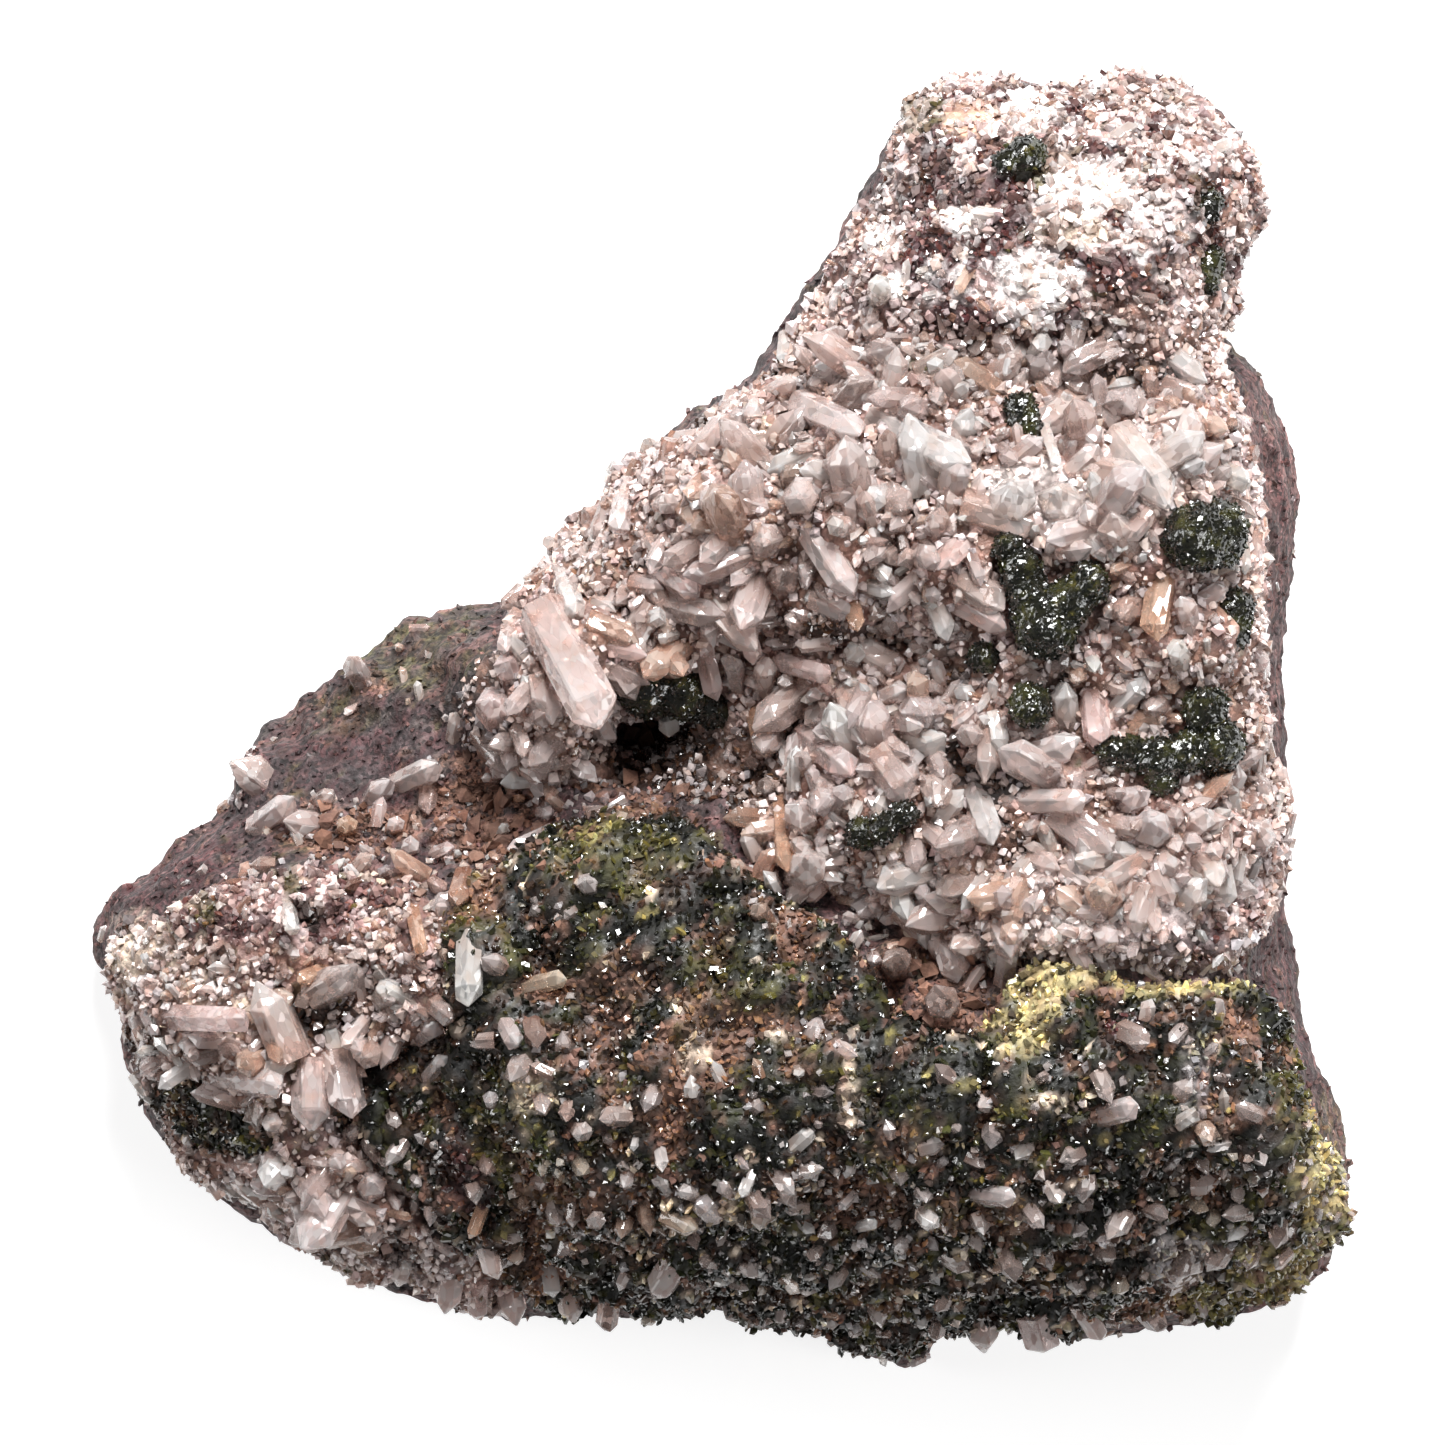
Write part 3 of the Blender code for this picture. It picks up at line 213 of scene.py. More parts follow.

# Soft patches of colour, as (tint, x, y, reach x, reach y, share). The near-black pit patches are painted
# shade: in the cavity, in the gap under the overhanging crystals and in deep hollows
QUARTZ_PATCHES = [
    ("clear", 110, 90, 12, 6, 0.6), ("white", 105.6, 91.4, 4.6, 2.2, 0.6),
    ("pink", 125.8, 45, 2.4, 11, 0.5), ("maroon", 97.5, 20.5, 6.8, 4.4, 0.85),
    ("maroon", 99, 33, 8.5, 3.4, 0.85), ("maroon", 88, 28, 6, 4, 0.7), ("white", 103, 11.2, 3, 2.4, 0.8),
    ("white", 108.3, 19.2, 5, 3, 1), ("cream", 107, 23.4, 3.4, 1.6, 0.8), ("white", 103, 29.4, 3.6, 4, 1),
    ("white", 88.5, 24, 2.2, 1.6, 1), ("white", 96.2, 22.2, 2.4, 1.5, 0.9),
    ("white", 89.4, 28.6, 1.8, 1.4, 0.9), ("grey", 93.4, 27.4, 1.2, 1.4, 0.9),
    ("grey", 96.6, 25.6, 1, 1, 0.9), ("maroon", 112, 28, 1.9, 2.8, 0.95), ("white", 116, 22, 3, 2.6, 0.5),
    ("dark", 112.5, 33, 5, 1.8, 0.6), ("orange", 97, 11.8, 2.8, 1.9, 0.9), ("olive", 103, 17, 3, 2, 0.9),
    ("olive", 117, 9.8, 2.2, 1, 0.8), ("olive", 92, 11, 2.6, 2.2, 0.7), ("black", 120, 20.5, 1.8, 2.4, 0.8),
    ("black", 121.6, 27.5, 1.6, 2.8, 0.8), ("olive", 93.5, 36.8, 5, 1.3, 0.8),
    ("pit_shade", 111, 38.3, 3.6, 1.5, 0.9), ("white", 104, 50, 7, 4, 0.7), ("white", 114, 47, 5, 5, 0.5),
    ("cream", 96, 49.5, 2.4, 2.6, 1), ("cream", 76, 42.6, 2, 1.4, 0.9),
    ("clay", 110.5, 38.5, 3.6, 1.8, 0.9), ("clay", 120, 67, 2.4, 3.2, 0.9), ("clay", 66, 78.2, 6, 2, 0.9),
    ("clay", 76, 78, 3, 3.6, 0.6), ("pit_shade", 76, 78.2, 2.2, 2, 0.9), ("pit_shade", 83, 63, 4.6, 1.2, 0.9),
    ("pit_shade", 66.5, 75.6, 8, 3.8, 1), ("pit_shade", 83, 90, 3.8, 1.4, 0.8), ("clay", 60, 62, 3, 3, 0.5),
    ("maroon", 70, 53, 3.6, 3.6, 0.5), ("cream", 59, 80, 3.6, 1.6, 0.8), ("cream", 90, 85.5, 2, 1.6, 0.8),
    ("purple", 116, 95.5, 6, 2, 0.8), ("olive", 112.6, 76, 3, 1.4, 0.5), ("maroon", 122, 92, 4, 4, 0.4),
    ("orange", 124, 60, 2.4, 5, 0.4), ("dark", 46.5, 70, 4.6, 8, 0.9), ("purple", 46, 76, 3.4, 4, 0.7),
]
LEFT_PATCHES = [
    ("cream", 14, 95, 4, 3, 0.8), ("maroon", 24, 86, 9, 1.8, 0.7), ("maroon", 38, 89, 4, 2, 0.6),
    ("cream", 20, 99, 3, 1.6, 0.7), ("olive", 20, 91, 1.4, 1.8, 0.7), ("olive", 29, 88.6, 1, 1.6, 0.7),
    ("black", 31, 91.5, 1.2, 1.8, 0.8), ("clay", 19, 106.5, 3.4, 2, 0.8), ("pit_shade", 31, 101.5, 3.4, 2, 0.6),
    ("black", 36, 110, 2.4, 2.6, 0.8), ("clay", 24, 104.8, 3, 1.2, 0.7), ("purple", 44, 127, 3.6, 2.4, 0.6),
    ("cream", 27, 117.4, 2, 1.2, 0.6), ("black", 17.6, 110.8, 4.6, 4, 0.95),
    ("pit_shade", 33, 101.4, 6, 2.4, 0.9), ("black", 36.4, 110, 4.6, 4, 0.95), ("pit_shade", 44, 113.6, 4.4, 5, 0.85),
    ("clay", 40, 118.4, 5, 2.6, 0.7), ("black", 45, 122.6, 3.6, 2, 0.9), ("pit_shade", 13.5, 104, 2.4, 2, 0.8),
    ("olive", 31, 99, 3, 1, 0.6), ("maroon", 40, 99.5, 3, 2.4, 0.6), ("clay", 46, 117, 3, 4, 0.6),
    ("olive", 25.6, 112.6, 2.4, 2, 0.7),
]
EPIDOTE_PATCHES = [
    ("olive", 62, 85.5, 7, 3, 0.7), ("yellow", 60, 83.4, 2.4, 1.4, 0.9),
    ("mustard", 103.5, 98.5, 3, 3.2, 1), ("mustard", 101.6, 103.2, 3.4, 2, 1),
    ("mustard", 108, 97.4, 5, 1.6, 1), ("mustard", 117, 98.4, 7, 1.2, 1),
    ("maroon", 112.2, 102.4, 2, 1.5, 1), ("mustard", 132.6, 117, 3.2, 9, 0.75),
    ("mustard", 129, 127.6, 6, 3, 0.65), ("yellow", 124, 130, 6, 2.2, 0.7),
    ("olive", 130, 110, 2.4, 6, 0.5), ("olive", 72, 98, 4, 5, 0.5), ("olive", 45.5, 91.5, 2, 2.4, 0.7),
    ("clay", 70, 105, 4.4, 3.6, 0.7), ("cream", 69.5, 105.5, 1.8, 2, 0.9),
    ("cream", 53.5, 109, 3.2, 2.2, 0.8), ("cream", 85, 109.5, 1.2, 3, 0.9), ("clay", 62, 98, 4, 3, 0.5),
    ("cream", 73, 120.5, 3, 1.6, 0.7), ("cream", 105, 110, 2.2, 1.2, 0.9), ("clay", 90, 114, 3, 2.4, 0.6),
    ("grey", 119, 107, 1.6, 4, 0.6), ("clay", 122, 111, 2.6, 2.6, 0.6), ("clay", 58, 120, 4, 3, 0.5),
    ("maroon", 47, 117, 3, 4, 0.6), ("clay", 85, 121, 4, 2, 0.6), ("olive", 50, 112, 3, 6, 0.5),
    ("clay", 98, 121.5, 6, 2.4, 0.5), ("grey", 118, 126, 3.2, 3.2, 0.8),
    ("yellow", 88.6, 117, 1.6, 1.2, 0.9),
]
ROCK_PATCHES = [
    ("moss", 38, 64.2, 4.4, 3.2, 0.6), ("moss", 31.4, 72.4, 3, 2.2, 0.6), ("moss", 46, 62.4, 3, 1.6, 0.5),
    ("dark", 87, 20, 6, 12, 0.6), ("dark", 78, 34, 8, 8, 0.6), ("dark", 66, 45, 12, 5, 0.5),
    ("ash", 43, 64, 8.5, 5, 0.5), ("olive", 42, 64.5, 9, 5, 0.7), ("maroon", 31, 75, 4, 5, 0.6),
    ("dark", 30, 76, 10, 7, 0.5), ("olive", 34, 71, 3, 2.4, 0.7), ("clay", 37.4, 68.6, 1.6, 1.6, 0.8),
    ("dark", 48, 69, 4, 8, 0.65), ("maroon", 18, 88, 9, 3.6, 0.7), ("rose", 36, 88, 8, 3, 0.35),
    ("cream", 13, 94, 3, 2.6, 0.5), ("clay", 48.5, 81, 6, 6, 1), ("clay", 35, 83.5, 7, 3, 0.9),
    ("clay", 93, 98.5, 6.4, 6, 1), ("clay", 64, 79, 6, 1.6, 0.8), ("pit_shade", 66, 74.5, 8, 4.4, 1),
    ("yellow", 134, 118, 3.6, 9, 0.45), ("rose", 128.5, 131, 4, 1.6, 0.6), ("rose", 128, 50, 4, 18, 0.6),
    ("maroon", 129, 90, 3, 20, 0.6), ("olive", 93, 10, 2.6, 3, 0.6),
]

# Where the quartz is coarse, as (x, y, reach x, reach y), and where it is thin, with a share
COARSE = [
    (82, 56, 34, 20), (95, 80, 34, 15), (108, 47, 17, 12), (52, 68, 10, 12), (24, 106, 12, 6),
    (36, 104, 8, 6), (31, 121, 10, 5),
]
THIN = [
    (92.5, 26.5, 7, 8, 0.65), (97.5, 35, 5, 2.4, 0.6), (111.5, 27.5, 2.6, 3.4, 0.6),
    (76, 78.2, 2.4, 2.2, 0.9), (36.4, 110, 4.6, 3.6, 0.9), (17.4, 111, 4.6, 3.4, 0.95),
    (31, 101.8, 5, 2, 0.8), (44, 113, 4, 4.6, 0.8), (41.5, 121.6, 4.4, 2.6, 0.7),
    (24.6, 104.6, 3, 1.4, 0.6), (30, 112.4, 3, 1.6, 0.7), (83, 63, 4.6, 1.3, 0.8), (66, 78, 6, 2, 0.7),
    (66.5, 75.4, 7.6, 3.8, 0.9), (83, 90, 3.8, 1.4, 0.7), (108.5, 20.5, 4.6, 2.6, 0.5),
    (122, 93, 7, 3, 0.6), (110.5, 38.5, 3.4, 1.8, 0.6), (120, 67, 2.2, 3, 0.6), (46.5, 70, 4.2, 7.6, 0.97),
    (69, 79, 6, 3.4, 0.5),
]

# Spots of other tints, as (tint, size, threshold, share). The near-black pit spots are painted shade in small
# pits between the grains and crystals
ROCK_MOTTLES = [
    ("maroon", 2.6, 0.05, 0.6), ("dark", 1.8, 0.12, 0.75), ("rose", 1.4, 0.4, 0.4), ("ash", 1.6, 0.4, 0.5),
    ("olive", 2.4, 0.45, 0.5), ("clay", 2, 0.45, 0.6),
]
ROCK_STRATA = [
    ("rose", 1.3, 0.1, 0.8), ("dark", 0.9, 0.2, 0.7), ("maroon", 1.1, 0.25, 0.7), ("ash", 0.8, 0.4, 0.6),
]
MAIN_MOTTLES = [
    ("pink", 4, 0.1, 0.4), ("clay", 3.2, 0.1, 0.8), ("maroon", 3, 0.3, 0.6), ("cream", 2.2, 0.5, 0.8),
    ("pit_shade", 3.4, 0.4, 0.6), ("olive", 2, 0.58, 0.8),
]
LEFT_MOTTLES = [
    ("pink", 4, 0.1, 0.4), ("clay", 3, 0.1, 0.8), ("cream", 2.6, 0.3, 0.7), ("maroon", 3, 0.25, 0.6),
    ("pit_shade", 3, 0.35, 0.7), ("olive", 1.8, 0.45, 0.8), ("black", 2, 0.5, 0.8),
]
HEAD_MOTTLES = [
    ("maroon", 3.4, -0.4, 0.95), ("pink", 3, 0.1, 0.9), ("white", 2.2, 0.22, 0.95), ("grey", 1.4, 0.3, 0.8),
    ("dark", 1.6, 0.3, 0.7), ("clay", 2.4, 0.4, 0.7), ("olive", 2.2, 0.55, 0.8),
]
RIDGE_MOTTLES = [
    ("rose", 3.4, -0.6, 0.9), ("maroon", 2.6, -0.05, 0.85), ("pink", 2.2, 0.3, 0.7), ("cream", 2, 0.4, 0.7),
    ("olive", 1.6, 0.5, 0.8), ("dark", 1.4, 0.45, 0.7),
]
EPIDOTE_MOTTLES = [
    ("green", 3, 0.1, 0.7), ("olive", 2.4, 0.35, 0.7), ("clay", 1.8, 0.4, 0.9), ("pit_shade", 2.4, 0.15, 0.8),
    ("cream", 1.3, 0.5, 0.8), ("black", 1.4, 0.35, 0.8), ("yellow", 1.2, 0.55, 0.7), ("sugar", 3, 0.5, 0.6),
]
BALL_MOTTLES = [("green", 1.4, 0.1, 0.6), ("olive", 1.2, 0.5, 0.5)]
STANDING_MOTTLES = [("grey", 3, -0.4, 0.5), ("smoky", 2, 0.1, 0.7), ("cream", 5, 0.35, 0.8)]

# The fine-grained parts of the druses, the pockets of clay and where small quartz lies on the rock
FINE_GRAINED = {
    "quartz_crust": [(106, 20, 20, 14.5), (118.5, 93, 9, 4), (127, 46, 3.4, 18)],
    "quartz_crust_left": [(26, 89.5, 18, 5.5)],
}
CLAY_POCKETS = [
    (48.5, 81, 5.5, 5.5), (35, 83.5, 6.5, 2.6), (93, 98.5, 6, 5.6), (66, 78.2, 6.5, 2.2),
    (55, 68.5, 2.6, 2.2), (64, 73.5, 5, 3),
]
SPRINKLED = [
    (31, 82, 8, 2.4, 0.6), (23.6, 78, 2.6, 3.4, 0.7), (40, 86, 9, 4, 0.7), (48, 76, 6, 5, 0.2),
    (60, 79.5, 10, 2.6, 0.9), (78, 88, 8, 3, 0.9), (36, 68, 4, 3, 0.1), (86, 91, 5, 5, 0.8),
    (100, 96.5, 8, 2.4, 0.9), (116, 97, 10, 2, 0.7), (30, 88.5, 12, 2, 0.5), (90, 134, 20, 3, 0.4),
]

# Where the rock is a mass of nodules
NODULAR = (40, 66.5, 10, 6)

# Hollows deeper than the solids show, as (x, y, reach x, reach y, depth)
DENTS = [
    (83.5, 63.4, 6.5, 1.5, 3.2), (76, 78.2, 2.8, 2.6, 3.4), (66, 75.2, 7.4, 3.8, 4.4),
    (83, 90.2, 4.4, 1.6, 2.6), (60.5, 60.5, 3.4, 1.5, 2), (92.5, 64.5, 4, 1.2, 2), (72, 63, 2, 2.6, 1.6),
    (119.5, 69.5, 2.4, 2, 1.8), (110.5, 38.6, 3.6, 1.6, 1.6), (32, 101.6, 3.4, 2.2, 1.8),
    (36.5, 110.5, 3.6, 5, 1.6), (88, 102.6, 3, 2, 1.4), (48, 80, 3, 2, 1.6), (104.8, 84.4, 2.4, 1.2, 1.8),
    (45.5, 104, 2, 3, 1.2),
]

# The way the crystals of a region lean, as (x, y, reach x, reach y, towards x, towards y)
FLOWS = [
    (88, 58, 16, 5, 0.3, 1), (62, 65, 7, 7, 0.6, 1), (118, 50, 8, 10, 0.6, 0.7), (105, 84, 18, 8, 0.2, 0.8),
    (74, 48, 10, 8, -0.5, -0.5), (112, 14, 12, 5, 0.4, -0.8), (66, 54, 8, 4, 0.8, 0.5),
]

# The pale floor: its half side in metres, its own brightness and how much it glows
FLOOR_SIDE = 3
FLOOR_TINT = 0.45
FLOOR_GLOW = 0.75

# The light from all around, and the soft boxes, as (name, place, side, power), in metres and watts
WORLD_LIGHT = 0.12
LIGHTS = [
    ("key_light", (0.14, 0.70, 0.64), 0.42, 23.0),
    ("left_light", (-0.70, 0.15, 0.60), 0.40, 3.6),
    ("right_light", (0.65, -0.25, 0.65), 0.36, 3.2),
]

# The photo's middle in face millimetres, its width in metres, and the camera that sees as much at the
# height of the crystals
PHOTO_CENTRE = (72.25, 72.25)
PHOTO_SPAN = 0.1445
LENS = 400.0
SENSOR = 36.0
FOCUS_HEIGHT = 0.037


def face(points):
    """The face millimetres of some points given in metres."""
    return points[:, 0] / MM + FACE_CENTRE[0], FACE_CENTRE[1] - points[:, 1] / MM


def place(x, y, z):
    """The point in metres at some face millimetres, z millimetres high."""
    return Vector(((x - FACE_CENTRE[0]) * MM, (FACE_CENTRE[1] - y) * MM, z * MM))


# Noise and colour


def lattice(cells, seed):
    """A steady random number from 0 to 1 for each cell."""
    mixed = seed * SEED_MIX
    for axis, factor in enumerate(CELL_MIX):
        mixed = mixed ^ cells[..., axis] * factor
    for shift, factor in ROUND_MIX:
        mixed = (mixed ^ (mixed >> shift)) * factor
    return ((mixed >> 8) & 0xFFFF) / 65535.0


def waves(points, size, seed):
    """Smooth noise from -1 to 1, with features about size millimetres across."""
    scaled = points / (size * MM)
    cell = np.floor(scaled)
    part = scaled - cell
    part = part * part * (3 - 2 * part)
    cell = cell.astype(np.int64)
    total = np.zeros(len(points))
    for corner in itertools.product((0, 1), repeat=3):
        weight = np.prod(np.where(corner, part, 1 - part), axis=1)
        total += lattice(cell + np.array(corner), seed) * weight
    return total * 2 - 1


def layered(points, layers, seed):
    """Several sizes of smooth noise together, as (size, share, step of the seed)."""
    return sum(waves(points, size, seed + step) * share for size, share, step in layers)


def grains(points, size, seed):
    """Rounded grains about size millimetres across: 1 at the middle of a grain and 0 far from any."""
    scaled = points / (size * MM)
    cell = np.floor(scaled).astype(np.int64)
    nearest = np.full(len(points), 9.0)
    for corner in itertools.product((-1, 0, 1), repeat=3):
        other = cell + np.array(corner)
        spot = other + np.stack([lattice(other, seed + k) for k in range(3)], axis=-1)
        nearest = np.minimum(nearest, ((scaled - spot) ** 2).sum(axis=1))
    return np.clip(1 - np.sqrt(nearest), 0.0, 1.0)


def patch_share(x, y, reach_x, reach_y, points, seed):
    """How much of a soft, ragged ellipse lies at each point, from 0 to 1."""
    face_x, face_y = face(points)
    apart = np.hypot((face_x - x) / reach_x, (face_y - y) / reach_y)
    ragged = layered(points, PATCH_RAGS, seed)
    return np.clip((PATCH_REACH - apart + ragged) / PATCH_EDGE, 0.0, 1.0)


def most_of(points, rows, seed):
    """The largest share of any patch at each point, as (x, y, reach x, reach y) with or without a share."""
    most = np.zeros(len(points))
    for x, y, reach_x, reach_y, *share in rows:
        here = patch_share(x, y, reach_x, reach_y, points, seed)
        most = np.maximum(most, here * share[0] if share else here)
    return most


def plain(points, tint):
    return np.tile(np.array(TINTS[tint]), (len(points), 1))


def blended(colours, other, share):
    return colours + (other - colours) * share[:, None]


def patched(points, colours, patches, seed, where=1.0):
    """Lays soft patches over the colours, as (tint, x, y, reach x, reach y, share)."""
    for number, (tint, x, y, reach_x, reach_y, share) in enumerate(patches):
        amount = patch_share(x, y, reach_x, reach_y, points, seed + number) * share * where
        colours = blended(colours, np.array(TINTS[tint]), amount)
    return colours


def mottled(points, colours, rows, seed, where=1.0):
    """Lays ragged spots over the colours, as (tint, size, threshold, share)."""
    for number, (tint, size, threshold, share) in enumerate(rows):
        rags = [(size * finer, part, step) for step, (finer, part) in enumerate(SPOT_RAGS)]
        field = layered(points, rags, seed + 3 * number)
        amount = np.clip((field - threshold) / SPOT_EDGE, 0, 1) * share * where
        colours = blended(colours, np.array(TINTS[tint]), amount)
    return colours


def segment_gap(points, rows):
    """How far each point is, across the face, from the nearest of some crystals' sides, in millimetres."""
    x, y = face(points)
    gap = np.full(len(points), 99.0)
    for base_x, base_y, tip_x, tip_y, width, *_ in rows:
        run_x, run_y = tip_x - base_x, tip_y - base_y
        along = np.clip(((x - base_x) * run_x + (y - base_y) * run_y) / (run_x ** 2 + run_y ** 2), 0, 1)
        apart = np.hypot(x - base_x - along * run_x, y - base_y - along * run_y)
        gap = np.minimum(gap, apart - width / 2)
    return gap


def flow_at(points):
    """The leaning direction of the region that each point is in."""
    total = np.zeros((len(points), 2))
    for x, y, reach_x, reach_y, towards_x, towards_y in FLOWS:
        amount = patch_share(x, y, reach_x, reach_y, points, 23)
        total += amount[:, None] * np.array((towards_x, towards_y))
    return total


# Nets


class Net:
    """A mesh as arrays: points, faces of three or four corners, and what follows from them."""

    def __init__(self, points, faces):
        self.points = points
        self.faces = faces

    @classmethod
    def of(cls, mesh):
        points = np.empty(len(mesh.vertices) * 3)
        mesh.vertices.foreach_get("co", points)
        return cls(points.reshape(-1, 3), [tuple(face.vertices) for face in mesh.polygons])

    def triangles(self):
        made = []
        for corners in self.faces:
            made += [(corners[0], corners[k], corners[k + 1]) for k in range(1, len(corners) - 1)]
        return np.array(made)

    def normals(self):
        corners = self.triangles()
        a, b, c = (self.points[corners[:, k]] for k in range(3))
        facing = np.cross(b - a, c - a)
        total = np.zeros_like(self.points)
        for k in range(3):
            for axis in range(3):
                total[:, axis] += np.bincount(corners[:, k], facing[:, axis], len(self.points))
        return total / np.maximum(np.linalg.norm(total, axis=1), 1e-20)[:, None]

    def edges(self):
        pairs = []
        for corners in self.faces:
            pairs += zip(corners, corners[1:] + corners[:1])
        pairs = np.sort(np.array(pairs), axis=1)
        return np.unique(pairs, axis=0)

    def smooth(self, rounds, steps=EVEN_STEPS, share=1.0):
        """Moves each point towards the mean of its neighbours and back, by each step in turn."""
        edges = self.edges()
        count = len(self.points)
        both = np.concatenate([edges[:, 0], edges[:, 1]])
        other = np.concatenate([edges[:, 1], edges[:, 0]])
        degree = np.maximum(np.bincount(both, minlength=count), 1)[:, None]
        for step in steps * rounds:
            mean = np.stack([np.bincount(both, self.points[other, k], count) for k in range(3)], axis=1)
            self.points += (mean / degree - self.points) * share * step

    def part(self, keep):
        """The faces whose corners are all kept, as a net of its own, with the kept corners' numbers."""
        faces = [corners for corners in self.faces if all(keep[k] for k in corners)]
        used = sorted({k for corners in faces for k in corners})
        number = {k: n for n, k in enumerate(used)}
        return Net(self.points[used].copy(), [tuple(number[k] for k in corners) for corners in faces]), used

    def raised(self, height):
        """Moves each point out along its normal, by some millimetres."""
        self.points += self.normals() * (height * MM)[:, None]

    def mesh(self):
        made = bpy.data.meshes.new("form")
        made.from_pydata(self.points.tolist(), [], self.faces)
        return made


def modified(mesh, kind, **settings):
    """A mesh after a modifier, as a net."""
    form = bpy.data.objects.new("form", mesh)
    bpy.context.scene.collection.objects.link(form)
    modifier = form.modifiers.new(kind, kind)
    for name, value in settings.items():
        setattr(modifier, name, value)
    made = bpy.data.meshes.new_from_object(form.evaluated_get(bpy.context.evaluated_depsgraph_get()))
    net = Net.of(made)
    bpy.data.objects.remove(form)
    bpy.data.meshes.remove(made)
    return net


def remeshed(node, voxel):
    """A CAD node as an even net of small faces."""
    shape = bmesh.new()
    shape.from_mesh(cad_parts[node].data)
    bmesh.ops.remove_doubles(shape, verts=shape.verts, dist=WELD * MM)
    mesh = bpy.data.meshes.new("form")
    shape.to_mesh(mesh)
    shape.free()
    return modified(mesh, "REMESH", mode="VOXEL", voxel_size=voxel * MM)


def refined(net):
    """The net with every face split in four and rounded."""
    return modified(net.mesh(), "SUBSURF", levels=1, render_levels=1, boundary_smooth="PRESERVE_CORNERS")


def distances(points, node, limit):
    """How far some points are from a CAD node's surface, up to a limit, in millimetres."""
    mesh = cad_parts[node].data
    tree = BVHTree.FromPolygons([v.co for v in mesh.vertices], [tuple(p.vertices) for p in mesh.polygons])
    corners = np.array([v.co for v in mesh.vertices])
    reach = limit * MM
    near = np.all((points > corners.min(axis=0) - reach) & (points < corners.max(axis=0) + reach), axis=1)
    found = np.full(len(points), limit)
    for k in np.flatnonzero(near):
        hit = tree.find_nearest(Vector(points[k]), reach)
        if hit[0] is not None:
            found[k] = hit[3] / MM
    return found


def tree_of(points):
    """Points for finding the nearest of them, under their own numbers."""
    tree = KDTree(len(points))
    for k, point in enumerate(points):
        tree.insert(point, k)
    tree.balance()
    return tree


def depth_inside(points, inside):
    """How far each inside point is from the nearest outside one, in millimetres."""
    tree = tree_of(points[~inside])
    depth = np.zeros(len(points))
    for k in np.flatnonzero(inside):
        depth[k] = tree.find(points[k])[2] / MM
    return depth


class Ground:
    """What things stand on, seen from above."""

    def __init__(self, nets):
        points = []
        faces = []
        for net in nets:
            start = len(points)
            points += [Vector(p) for p in net.points]
            faces += [tuple(start + k for k in corners) for corners in net.faces]
        self.tree = BVHTree.FromPolygons(points, faces)

    def at(self, x, y):
        """The top point at some face millimetres or, off the specimen, the nearest point of its side."""
        hit = self.tree.ray_cast(place(x, y, 200), Vector((0, 0, -1)))[0]
        if hit is None:
            hit = self.tree.find_nearest(place(x, y, SIDE_HEIGHT))[0]
        return hit


class Rim:
    """The specimen's outline, for keeping crystals from leaning out over it."""

    def __init__(self, points, normals):
        self.normals = normals
        self.tree = tree_of(points * (1, 1, 0))

    def held_in(self, base, axis):
        """(the axis without its outward lean, the share of full size) for a crystal near the outline."""
        _, number, apart = self.tree.find((base.x, base.y, 0.0))
        near = min(apart / (RIM_REACH * MM), 1.0)
        outward = Vector((self.normals[number][0], self.normals[number][1], 0.0)).normalized()
        lean = axis.dot(outward)
        held = min(lean, RIM_LEAN)
        size = RIM_SIZE + (1 - RIM_SIZE) * near
        return (axis + outward * (held - lean) * (1 - near)).normalized(), size


# Crystals, blades and crumbs


def quartz_form(width, length, bevel):
    """A six-sided prism with an uneven point, along +Z from its foot: (points, faces)."""
    radius = width / 2
    stretch = dice.uniform(0.8, 1.0)
    point = min(radius * dice.uniform(0.8, 1.3), length * 0.5)
    shoulder = length - point
    ring = []
    for k in range(6):
        turn = math.radians(60 * k + dice.uniform(-7, 7))
        ring.append((math.cos(turn) * radius, math.sin(turn) * radius * stretch))
    taper = dice.uniform(0.9, 1.02)
    foot = [(x, y, 0.0) for x, y in ring]
    neck = [(x * taper, y * taper, shoulder + dice.uniform(-0.3, 0.3) * radius) for x, y in ring]
    tip = (dice.uniform(-0.3, 0.3) * radius, dice.uniform(-0.3, 0.3) * radius, length)
    points = foot + neck + [tip]
    faces = [(k, (k + 1) % 6, 6 + (k + 1) % 6, 6 + k) for k in range(6)]
    faces += [(6 + k, 6 + (k + 1) % 6, 12) for k in range(6)]
    faces.append((5, 4, 3, 2, 1, 0))
    if not bevel:
        return np.array(points), faces
    shape = bmesh.new()
    corners = [shape.verts.new(p) for p in points]
    for numbers in faces:
        shape.faces.new([corners[k] for k in numbers])
    bmesh.ops.bevel(
        shape,
        geom=[edge for edge in shape.edges if max(v.co.z for v in edge.verts) > 0],
        offset=radius * dice.uniform(0.03, 0.08),
        segments=1,
        affect="EDGES",
        clamp_overlap=True,
    )
    shape.verts.index_update()
    points = np.array([vert.co for vert in shape.verts])
    faces = [tuple(vert.index for vert in f.verts) for f in shape.faces]
    shape.free()
    return points, faces


def blade_form(width, length):
    """A flat four-sided blade with a slanted end: (points, faces)."""
    half = width / 2
    thin = half * dice.uniform(0.45, 0.8)
    ring = [(half, 0.0), (0.0, thin), (-half, 0.0), (0.0, -thin)]
    foot = [(x, y, 0.0) for x, y in ring]
    slant = dice.uniform(0.1, 0.35) * length
    neck = [(x * 0.95, y * 0.95, length - slant * (1.0 + x / half) / 2 - 0.08 * length) for x, y in ring]
    points = foot + neck + [(-half * 0.3, 0.0, length)]
    faces = [(k, (k + 1) % 4, 4 + (k + 1) % 4, 4 + k) for k in range(4)]
    faces += [(4 + k, 4 + (k + 1) % 4, 8) for k in range(4)]
    faces.append((3, 2, 1, 0))
    return np.array(points), faces


def aimed(points, base, axis, turn):
    """A form along +Z turned to an axis and moved to its base."""
    lift = axis.to_track_quat("Z", "Y").to_matrix() @ Matrix.Rotation(turn, 3, "Z")
    return points @ np.array(lift).T + np.array(base)


